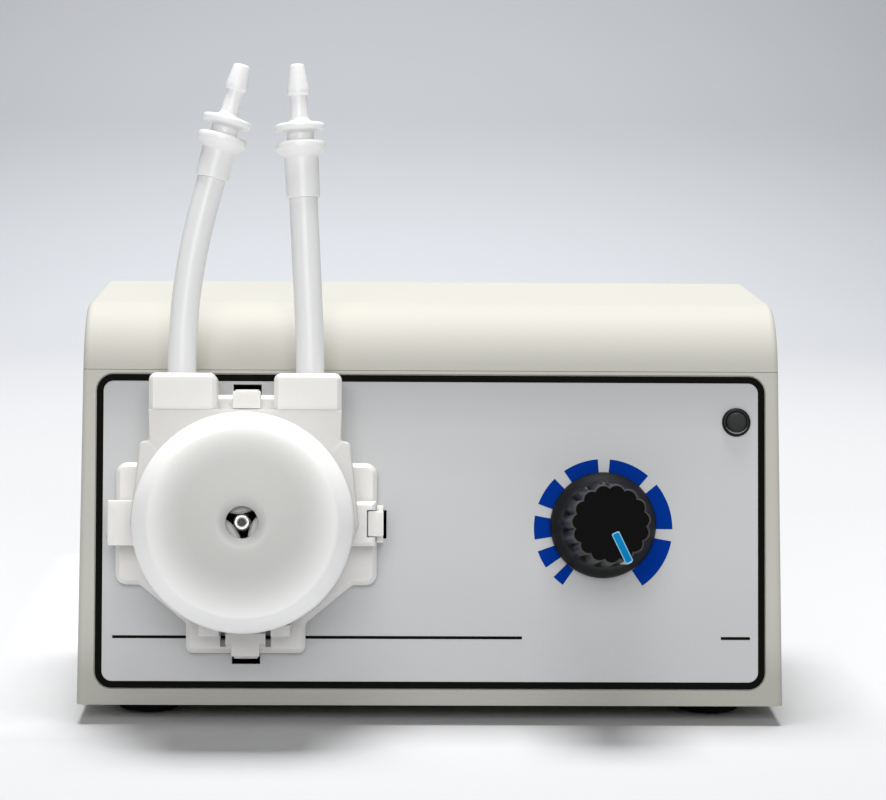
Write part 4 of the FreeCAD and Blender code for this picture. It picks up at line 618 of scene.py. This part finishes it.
def knob_rim():
    """The thin edge round the top of the knob, in a lighter grey: a painted highlight."""
    return loft([lobed_ring(radius, height, depth) for radius, height, depth in KNOB_RIM], wrap=True)


def knob_cap():
    """The thin lobed plate in the top of the knob."""
    rings = [[(0.0, 0.0, KNOB_CAP[0][1])]]
    rings += [lobed_ring(radius, height, depth) for radius, height, depth in KNOB_CAP]
    rings.append([(0.0, 0.0, KNOB_CAP[-1][1])])
    return loft(rings, wrap=False)


def soft_bar(start, end, width, low, high, edge):
    """A bar along X with bevelled top edges."""
    middle = (start + end) / 2
    radius = min(BAR_CORNER, width / 3)
    rings = []
    for inset, height in ((0.0, low), (0.0, high - edge), (edge / 3, high - edge / 3), (edge, high)):
        outline = rounded_rectangle(end - start - 2 * inset, width - 2 * inset, radius, (middle, 0.0),
                                    BAR_CORNER_STEPS)
        rings.append([(x, y, height) for x, y in outline])
    rings.insert(0, [(middle, 0.0, low)])
    rings.append([(middle, 0.0, high)])
    return loft(rings, wrap=False)


def tail_end(tail):
    """Where a tail's connector starts and which way it points, in the head's frame."""
    lean = Vector((math.tan(math.radians(tail["side_lean"])), 0.0, 0.0))
    angle = math.atan(lean.length)
    sideways = lean.normalized()
    along = Vector((0.0, 1.0, 0.0))
    radius = tail["bend"] / angle
    start = Vector((tail["side"] * TUBE_PLACE_X, tail["start"], TUBE_HEIGHT))
    direction = along * math.cos(angle) + sideways * math.sin(angle)
    bend_end = start + sideways * (radius * (1 - math.cos(angle))) + along * (radius * math.sin(angle))
    return bend_end + direction * tail["straight"], direction


# Materials

def new_material(name):
    material = bpy.data.materials.new(name)
    material.use_nodes = True
    nodes = material.node_tree.nodes
    return material, nodes, material.node_tree.links, nodes["Principled BSDF"]


def height_shaded_plastic(name, tones, tint, band, roughness, grain_height, specular=0.5):
    """A plastic whose tone changes with height, over a band given in metres: painted shade."""
    material, nodes, links, shader = new_material(name)
    coordinates = nodes.new("ShaderNodeTexCoord")
    upward = nodes.new("ShaderNodeMapping")
    upward.vector_type = "POINT"
    bottom, top = band
    size = 1.0 / (top - bottom)
    upward.inputs["Rotation"].default_value = (0.0, math.pi / 2, 0.0)
    upward.inputs["Scale"].default_value = (size, size, size)
    upward.inputs["Location"].default_value = (-bottom * size, 0.0, 0.0)
    gradient = nodes.new("ShaderNodeTexGradient")
    ramp = nodes.new("ShaderNodeValToRGB")
    ramp.color_ramp.elements[0].position = tones[0][0]
    ramp.color_ramp.elements[1].position = tones[-1][0]
    for position, tone in tones[1:-1]:
        ramp.color_ramp.elements.new(position)
    for element, (position, tone) in zip(ramp.color_ramp.elements, tones):
        element.color = (*[tone * share for share in tint], 1.0)
    links.new(coordinates.outputs["Object"], upward.inputs["Vector"])
    links.new(upward.outputs["Vector"], gradient.inputs["Vector"])
    links.new(gradient.outputs["Fac"], ramp.inputs["Fac"])
    links.new(ramp.outputs["Color"], shader.inputs["Base Color"])
    grain(nodes, links, shader, coordinates, GRAIN_SCALE, grain_height)
    shader.inputs["Roughness"].default_value = roughness
    shader.inputs["Specular IOR Level"].default_value = specular
    return material


def varied_colour(nodes, links, shader, colour, spread, scale):
    """A base colour that wanders a little over the surface."""
    coordinates = nodes.new("ShaderNodeTexCoord")
    noise = nodes.new("ShaderNodeTexNoise")
    noise.inputs["Scale"].default_value = scale
    noise.inputs["Detail"].default_value = MOTTLE_DETAIL
    ramp = nodes.new("ShaderNodeValToRGB")
    ramp.color_ramp.elements[0].position = MOTTLE_RANGE[0]
    ramp.color_ramp.elements[1].position = MOTTLE_RANGE[1]
    low = [c * (1.0 - spread) for c in colour]
    high = [min(1.0, c * (1.0 + spread)) for c in colour]
    ramp.color_ramp.elements[0].color = (*low, 1.0)
    ramp.color_ramp.elements[1].color = (*high, 1.0)
    links.new(coordinates.outputs["Object"], noise.inputs["Vector"])
    links.new(noise.outputs["Fac"], ramp.inputs["Fac"])
    links.new(ramp.outputs["Color"], shader.inputs["Base Color"])
    return coordinates


def grain(nodes, links, shader, coordinates, scale, height):
    """A fine moulded grain as bump."""
    noise = nodes.new("ShaderNodeTexNoise")
    noise.inputs["Scale"].default_value = scale
    noise.inputs["Detail"].default_value = GRAIN_DETAIL
    bump = nodes.new("ShaderNodeBump")
    bump.inputs["Strength"].default_value = height
    bump.inputs["Distance"].default_value = GRAIN_DISTANCE
    links.new(coordinates.outputs["Object"], noise.inputs["Vector"])
    links.new(noise.outputs["Fac"], bump.inputs["Height"])
    links.new(bump.outputs["Normal"], shader.inputs["Normal"])


def plastic(name, colour, roughness, spread=0.012, subsurface=0.0, specular=0.5, metallic=0.0):
    material, nodes, links, shader = new_material(name)
    coordinates = varied_colour(nodes, links, shader, colour, spread, MOTTLE_SCALE)
    grain(nodes, links, shader, coordinates, GRAIN_SCALE, GRAIN_HEIGHT)
    shader.inputs["Roughness"].default_value = roughness
    shader.inputs["Metallic"].default_value = metallic
    shader.inputs["Specular IOR Level"].default_value = specular
    if subsurface > 0:
        shader.inputs["Subsurface Weight"].default_value = subsurface
        shader.inputs["Subsurface Radius"].default_value = SUBSURFACE_RADIUS
        shader.inputs["Subsurface Scale"].default_value = SUBSURFACE_SCALE
    return material


def clear_plastic(name, colour, roughness, transmission, ior, subsurface):
    material, nodes, links, shader = new_material(name)
    coordinates = varied_colour(nodes, links, shader, colour, CLEAR_MOTTLE_SPREAD, CLEAR_MOTTLE_SCALE)
    grain(nodes, links, shader, coordinates, CLEAR_GRAIN_SCALE, CLEAR_GRAIN_HEIGHT)
    shader.inputs["Roughness"].default_value = roughness
    shader.inputs["Transmission Weight"].default_value = transmission
    shader.inputs["IOR"].default_value = ior
    shader.inputs["Subsurface Weight"].default_value = subsurface
    shader.inputs["Subsurface Radius"].default_value = CLEAR_SUBSURFACE_RADIUS
    shader.inputs["Subsurface Scale"].default_value = SUBSURFACE_SCALE / 2
    return material


def painted_shade_cover(name, roughness):
    """A milky cover with painted light and shade: lighter at its rim, darker over its middle."""
    material, nodes, links, shader = new_material(name)
    coordinates = nodes.new("ShaderNodeTexCoord")
    offset = nodes.new("ShaderNodeMapping")
    offset.vector_type = "POINT"
    in_head = Vector((0.0, COVER_SHADE_UP, DRUM_FRONT - COVER_SHADE_DEPTH))
    middle = panel_matrix(*HEAD_PLACE) @ in_head
    size = 1.0 / (DRUM_RADIUS * MM)
    offset.inputs["Location"].default_value = -middle * size
    offset.inputs["Scale"].default_value = (size, size, size)
    ball = nodes.new("ShaderNodeTexGradient")
    ball.gradient_type = "SPHERICAL"
    ramp = nodes.new("ShaderNodeValToRGB")
    ramp.color_ramp.interpolation = "EASE"
    ramp.color_ramp.elements[0].position = COVER_SHADE_RANGE[0]
    ramp.color_ramp.elements[1].position = COVER_SHADE_RANGE[1]
    ramp.color_ramp.elements[0].color = (*COVER_LIT_RIM_COLOUR, 1.0)
    ramp.color_ramp.elements[1].color = (*COVER_SHADED_CENTRE_COLOUR, 1.0)
    links.new(coordinates.outputs["Object"], offset.inputs["Vector"])
    links.new(offset.outputs["Vector"], ball.inputs["Vector"])
    links.new(ball.outputs["Color"], ramp.inputs["Fac"])
    links.new(ramp.outputs["Color"], shader.inputs["Base Color"])
    grain(nodes, links, shader, coordinates, GRAIN_SCALE, COVER_GRAIN_HEIGHT)
    shader.inputs["Roughness"].default_value = roughness
    shader.inputs["Subsurface Weight"].default_value = COVER_SUBSURFACE
    shader.inputs["Subsurface Radius"].default_value = SUBSURFACE_RADIUS
    shader.inputs["Subsurface Scale"].default_value = COVER_SUBSURFACE_SCALE
    return material


def make_materials():
    """A material for each slot of the part, and for the printed and flat surfaces and the painted highlights
    and reflection.
    """
    return {
        # The case's tone over its height is painted shade, darker towards the floor
        "case_plastic": height_shaded_plastic("case_plastic", CASE_SHADE_TONES, CASE_TINT, CASE_BAND, roughness=0.6,
                                       grain_height=0.12, specular=0.15),
        # The label's tone over its height is painted shade, darker towards its top
        "label_film": height_shaded_plastic("label_film", LABEL_SHADE_TONES, LABEL_TINT, LABEL_BAND, roughness=0.42,
                                     grain_height=0.05),
        "foot_rubber": plastic("foot_rubber", (0.006, 0.006, 0.006), 0.8, specular=0.2),
        "screw_steel": plastic("screw_steel", (0.55, 0.55, 0.56), 0.3, metallic=1.0),
        "head_plastic": plastic("head_plastic", (0.80, 0.79, 0.77), 0.45, subsurface=0.5),
        # The cover's lighter rim and darker middle are painted light and shade
        "cover_plastic": painted_shade_cover("cover_plastic", roughness=0.45),
        "cover_flat": plastic("cover_flat", (0.67, 0.66, 0.645), 0.45, subsurface=0.5),
        "tube_silicone": clear_plastic("tube_silicone", (0.98, 0.985, 0.985), roughness=0.25,
                                       transmission=0.12, ior=1.40, subsurface=0.6),
        "connector_plastic": clear_plastic("connector_plastic", (0.90, 0.90, 0.90), roughness=0.3,
                                           transmission=0.0, ior=1.45, subsurface=0.6),
        "roller_plastic": plastic("roller_plastic", (0.80, 0.80, 0.76), 0.5),
        "carrier_plastic": plastic("carrier_plastic", (0.02, 0.02, 0.02), 0.5),
        "shaft_steel": plastic("shaft_steel", (0.6, 0.6, 0.61), 0.25, metallic=1.0),
        "motor_steel": plastic("motor_steel", (0.55, 0.55, 0.56), 0.35, metallic=1.0),
        "motor_black": plastic("motor_black", (0.03, 0.03, 0.03), 0.5),
        "bush_bronze": plastic("bush_bronze", (0.6, 0.42, 0.2), 0.4, metallic=1.0),
        "magnet_ferrite": plastic("magnet_ferrite", (0.05, 0.05, 0.055), 0.6),
        "copper": plastic("copper", (0.7, 0.3, 0.12), 0.35, metallic=1.0),
        "plated_brass": plastic("plated_brass", (0.75, 0.72, 0.62), 0.3, metallic=1.0),
        "knob_black": plastic("knob_black", (0.002, 0.0022, 0.003), 0.4, spread=0.05, specular=0.13),
        # A painted highlight on the knob's top edge
        "knob_rim": plastic("knob_rim", (0.045, 0.042, 0.04), 0.5, spread=0.3, specular=0.4),
        "knob_cap": plastic("knob_cap", (0.0012, 0.0014, 0.0012), 0.55, spread=0.05, specular=0.06),
        "pointer_blue": plastic("pointer_blue", (0.0, 0.21, 0.5), 0.5, spread=0.03, specular=0.05),
        # A painted highlight on the pointer's edges
        "pointer_pale": plastic("pointer_pale", (0.25, 0.55, 0.75), 0.4, spread=0.03),
        "pointer_white": plastic("pointer_white", (0.75, 0.78, 0.78), 0.4, spread=0.03),
        "pot_case": plastic("pot_case", (0.5, 0.5, 0.52), 0.35, metallic=1.0),
        "light_black": plastic("light_black", (0.003, 0.003, 0.003), 0.4, specular=0.2),
        "light_lens": plastic("light_lens", (0.035, 0.04, 0.037), 0.5, spread=0.25, specular=0.1),
        # A painted reflection round the lens
        "glint_grey": plastic("glint_grey", (0.28, 0.29, 0.28), 0.5, spread=0.2),
        "board_green": plastic("board_green", (0.02, 0.12, 0.05), 0.35),
        "part_black": plastic("part_black", (0.02, 0.02, 0.02), 0.45),
        "block_green": plastic("block_green", (0.05, 0.3, 0.1), 0.4),
        "ink_black": plastic("ink_black", (0.003, 0.003, 0.002), 0.6, specular=0.05),
        "ink_blue": plastic("ink_blue", (0.0, 0.036, 0.31), 0.6, specular=0.02),
    }


def dress_nodes(materials):
    """Give each node of the part the material of its slot."""
    slots = {entry["node"]: entry["material_slot"] for entry in frame["record"]["subparts"]}
    for name, node in frame["nodes"].items():
        material = materials[slots[name]]
        if node.data.materials:
            for index in range(len(node.data.materials)):
                node.data.materials[index] = material
        else:
            node.data.materials.append(material)


def add_label_print(materials):
    place = panel_matrix(0.0, 0.0)
    add_piece("label_border", label_border(), place, "housing", materials["ink_black"])
    for number, span in enumerate(LINE_SPANS, 1):
        add_piece("label_line_" + str(number), label_line(span), place, "housing", materials["ink_black"])
    start = DIAL_START
    dial = panel_matrix(*DIAL_CENTRE)
    for k in range(DIAL_MARKS):
        sweep = DIAL_FIRST_SWEEP + DIAL_SWEEP_STEP * k
        add_piece("dial_mark_" + str(k + 1), dial_mark(start, sweep), dial, "housing", materials["ink_blue"])
        start -= sweep + DIAL_GAP


def add_head_pieces(materials):
    head = panel_matrix(*HEAD_PLACE)
    drum = add_piece("head_cover_drum", turned(drum_profile()), head, "housing", materials["cover_plastic"])
    add_piece("head_cover_plate", cover_plate(), head, "housing", materials["cover_flat"])
    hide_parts("pump_cover")
    # A black disc as painted shade in the hollow end of the shaft
    add_piece("shaft_end_shade", turned(SHAFT_SOCKET), head, "rotor", materials["part_black"])
    for name, (tail, shape) in CONNECTORS.items():
        connector = turned(connector_profile(shape["sleeve"], shape["taper"], shape["tip"]))
        point, direction = tail_end(tail)
        turn = Vector((0.0, 0.0, 1.0)).rotation_difference(direction).to_matrix().to_4x4()
        place = head @ Matrix.Translation(point) @ turn
        piece = add_piece(name + "_moulding", connector, place, "housing", materials["connector_plastic"])
        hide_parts(name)


def add_clip_noses(materials):
    for name, (inner, outer, width, top, spin) in CLIP_NOSES.items():
        place = panel_matrix(*HEAD_PLACE, spin)
        nose = soft_bar(inner, outer, width, CLIP_NOSE_LOW, top, CLIP_NOSE_EDGE)
        add_piece(name, nose, place, "housing", materials["head_plastic"])


def add_control_pieces(materials):
    place = panel_matrix(*KNOB_PLACE, KNOB_ANGLE)
    knob = add_piece("speed_knob_grip", knob_body(), place, "knob", materials["knob_black"])
    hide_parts("speed_knob")
    add_piece("speed_knob_rim", knob_rim(), place, "knob", materials["knob_rim"])
    add_piece("speed_knob_cap", knob_cap(), place, "knob", materials["knob_cap"])
    # The pointer's pale rim is a painted highlight round its edges
    rim = soft_bar(POINTER_START, POINTER_END, POINTER_WIDTH, POINTER_LOW, POINTER_TOP - POINTER_RIM_DROP,
                   POINTER_RIM_EDGE)
    pointer = add_piece("pointer_rim", rim, place, "knob", materials["pointer_pale"])
    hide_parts("knob_pointer")
    inlay = soft_bar(POINTER_START + POINTER_FRAME, POINTER_END - POINTER_FRAME,
                     POINTER_WIDTH - 2 * POINTER_FRAME, POINTER_LOW, POINTER_TOP, POINTER_INLAY_EDGE)
    add_piece("pointer_inlay", inlay, place, "knob", materials["pointer_blue"])
    flank = soft_bar(POINTER_FLANK_START, POINTER_FLANK_OUT, POINTER_WIDTH - POINTER_FLANK_MARGIN,
                     POINTER_FLANK_LOW, POINTER_TOP - POINTER_FLANK_DROP, POINTER_FLANK_EDGE)
    add_piece("pointer_flank", flank, place, "knob", materials["pointer_white"])
    light = panel_matrix(*LIGHT_PLACE)
    bezel = add_piece("light_bezel", turned(rounded_profile(BEZEL_PROFILE, BEZEL_RADII)), light, "housing",
                      materials["light_black"])
    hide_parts("power_light_bezel")
    lens = add_piece("light_lens_cap", turned(rounded_profile(LENS_PROFILE, LENS_RADII)), light, "housing",
                     materials["light_lens"])
    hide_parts("power_light_lens")
    # A painted reflection round the lens's lower edge
    add_piece("light_glint", lens_glint(), light, "housing", materials["glint_grey"])


def add_soft_edges(materials):
    """The case's and the head's large mouldings, with soft edges but for the seam and the sockets' foot."""
    lean = math.radians(PANEL_LEAN)
    upward = Vector((0.0, 0.0, 1.0))
    seam = (upward, (FLOOR_Z + SEAM_UP_PANEL * math.cos(lean)) * MM, SEAM_BAND * MM)
    up_panel = Vector((0.0, math.sin(lean), math.cos(lean)))
    socket_foot = up_panel.dot(panel_matrix(*HEAD_PLACE) @ Vector((0.0, SOCKET_FOOT, 0.0)))
    socket_line = (up_panel, socket_foot, SOCKET_FOOT_BAND * MM)
    for node, name, slot, width in SOFT_EDGES:
        left_sharp = seam if slot == "case_plastic" else socket_line
        rise = SEAM_RISE * MM if node == "base_shell" else 0.0
        skin = softened(node, width, left_sharp, rise)
        piece = add_piece(name, skin, Matrix.Identity(4), "housing", materials[slot])
        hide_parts(node)


def add_feet(materials):
    profile = rounded_profile(FOOT_PROFILE, FOOT_RADII)
    for name, place in FOOT_PLACES.items():
        matrix = Matrix.Translation((place[0] * MM, place[1] * MM, 0.0)) @ Matrix.Scale(MM, 4)
        foot = add_piece("rubber_foot_" + name, turned(profile), matrix, "housing", materials["foot_rubber"])
        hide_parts("foot_" + name)


# Stage

def stage_material():
    material, nodes, links, shader = new_material("stage")
    shade = nodes.new("ShaderNodeVertexColor")
    shade.layer_name = "shade"
    links.new(shade.outputs["Color"], shader.inputs["Base Color"])
    shader.inputs["Roughness"].default_value = STAGE_ROUGHNESS
    shader.inputs["Specular IOR Level"].default_value = 0.0
    return material


def stage_shade(x, y, z):
    """Painted light and shade on floor and backdrop: the floor lighter towards the back, a painted pool of
    light beside the case's left side, and a backdrop that darkens upwards and towards its sides: tone and
    share of the side.
    """
    run = min(max(y + z, STAGE_TONES[0][0]), STAGE_TONES[-1][0])
    tone = STAGE_TONES[0][1]
    for (low, low_tone), (high, high_tone) in zip(STAGE_TONES, STAGE_TONES[1:]):
        if low <= run <= high:
            tone = low_tone + (high_tone - low_tone) * (run - low) / (high - low)
    # Painted shade: the backdrop darker towards its sides
    side = min(STAGE_SIDE_LIMIT, abs(x - STAGE_MIDDLE) / STAGE_HALF) ** 2
    share = min(1.0, max(0.0, (run - STAGE_SIDE_START) / (STAGE_SIDE_FULL - STAGE_SIDE_START)))
    # Painted pool of light on the floor beside the case's left side
    if STAGE_LIGHT_POOL_Y[0] <= y <= STAGE_LIGHT_POOL_Y[1]:
        tone *= 1.0 + STAGE_LIGHT_POOL * max(0.0, 1.0 - abs(x - STAGE_LIGHT_POOL_X) / STAGE_LIGHT_POOL_WIDTH)
    return tone * (1.0 - STAGE_SIDE_DROP * side * share), share


def add_stage():
    profile = [(y, 0.0) for y in STAGE_FRONT]
    profile += [(STAGE_FINE_START + STAGE_FINE_STEP * k, 0.0) for k in range(STAGE_FINE_COUNT)]
    for k in range(1, STAGE_BEND_COUNT + 1):
        angle = math.radians(STAGE_BEND_ANGLE * k)
        profile.append((STAGE_BEND_START + STAGE_BEND_RADIUS * math.sin(angle),
                        STAGE_BEND_RADIUS - STAGE_BEND_RADIUS * math.cos(angle)))
    profile.append((STAGE_BEND_START + STAGE_BEND_RADIUS, STAGE_TOP))
    steps = range(-STAGE_COLUMNS, STAGE_COLUMNS + 1)
    columns = [STAGE_MIDDLE + STAGE_HALF * k / STAGE_COLUMNS for k in steps]
    columns = [-STAGE_REACH] + columns + [STAGE_REACH]
    vertices = [(x, y, z) for y, z in profile for x in columns]
    width = len(columns)
    faces = []
    for row in range(len(profile) - 1):
        for k in range(width - 1):
            corner = row * width + k
            faces.append((corner, corner + 1, corner + width + 1, corner + width))
    mesh = bpy.data.meshes.new("stage_sweep")
    mesh.from_pydata(vertices, [], faces)
    shade = mesh.color_attributes.new("shade", "FLOAT_COLOR", "POINT")
    for index, place in enumerate(vertices):
        tone, share = stage_shade(*place)
        red = tone * (STAGE_RED - STAGE_RED_LOSS * share)
        blue = tone * (STAGE_BLUE + STAGE_BLUE_GAIN * share)
        shade.data[index].color = (red, tone, blue, 1.0)
    for polygon in mesh.polygons:
        polygon.use_smooth = True
    mesh.materials.append(stage_material())
    floor = bpy.data.objects.new("stage_sweep", mesh)
    bpy.context.scene.collection.objects.link(floor)


def add_area_light(name, place, target, size, power):
    light = bpy.data.lights.new(name, "AREA")
    light.shape = "RECTANGLE"
    light.size, light.size_y = size
    light.energy = power
    lamp = bpy.data.objects.new(name, light)
    bpy.context.scene.collection.objects.link(lamp)
    lamp.location = place
    direction = Vector(target) - Vector(place)
    lamp.rotation_euler = direction.to_track_quat("-Z", "Y").to_euler()


def add_world():
    world = bpy.data.worlds.new("studio")
    bpy.context.scene.world = world
    world.use_nodes = True
    background = world.node_tree.nodes["Background"]
    background.inputs["Color"].default_value = (1.0, 1.0, 1.0, 1.0)
    background.inputs["Strength"].default_value = WORLD_STRENGTH


def add_camera():
    pitch, yaw, roll = (math.radians(v) for v in (CAMERA_PITCH, CAMERA_YAW, CAMERA_ROLL))
    forward = Vector((math.sin(yaw) * math.cos(pitch), math.cos(yaw) * math.cos(pitch), -math.sin(pitch)))
    level = Vector((math.cos(yaw), -math.sin(yaw), 0.0))
    upright = level.cross(forward)
    right = level * math.cos(roll) + upright * math.sin(roll)
    up = upright * math.cos(roll) - level * math.sin(roll)
    camera_data = bpy.data.cameras.new("camera")
    camera_data.lens = CAMERA_LENS
    camera_data.sensor_width = CAMERA_SENSOR
    camera_data.clip_start = CAMERA_NEAR
    camera_data.clip_end = CAMERA_FAR
    camera = bpy.data.objects.new("camera", camera_data)
    bpy.context.scene.collection.objects.link(camera)
    turn = Matrix((right, up, -forward)).transposed()
    camera.matrix_world = Matrix.Translation(Vector(CAMERA_PLACE) * MM) @ turn.to_4x4()
    bpy.context.scene.camera = camera


all_materials = make_materials()
dress_nodes(all_materials)
add_label_print(all_materials)
add_head_pieces(all_materials)
add_clip_noses(all_materials)
add_control_pieces(all_materials)
add_soft_edges(all_materials)
add_feet(all_materials)
add_stage()
add_world()
for lamp_name, lamp_setting in LAMPS.items():
    add_area_light(lamp_name, *lamp_setting)
add_camera()
bpy.context.scene.view_settings.view_transform = "Standard"
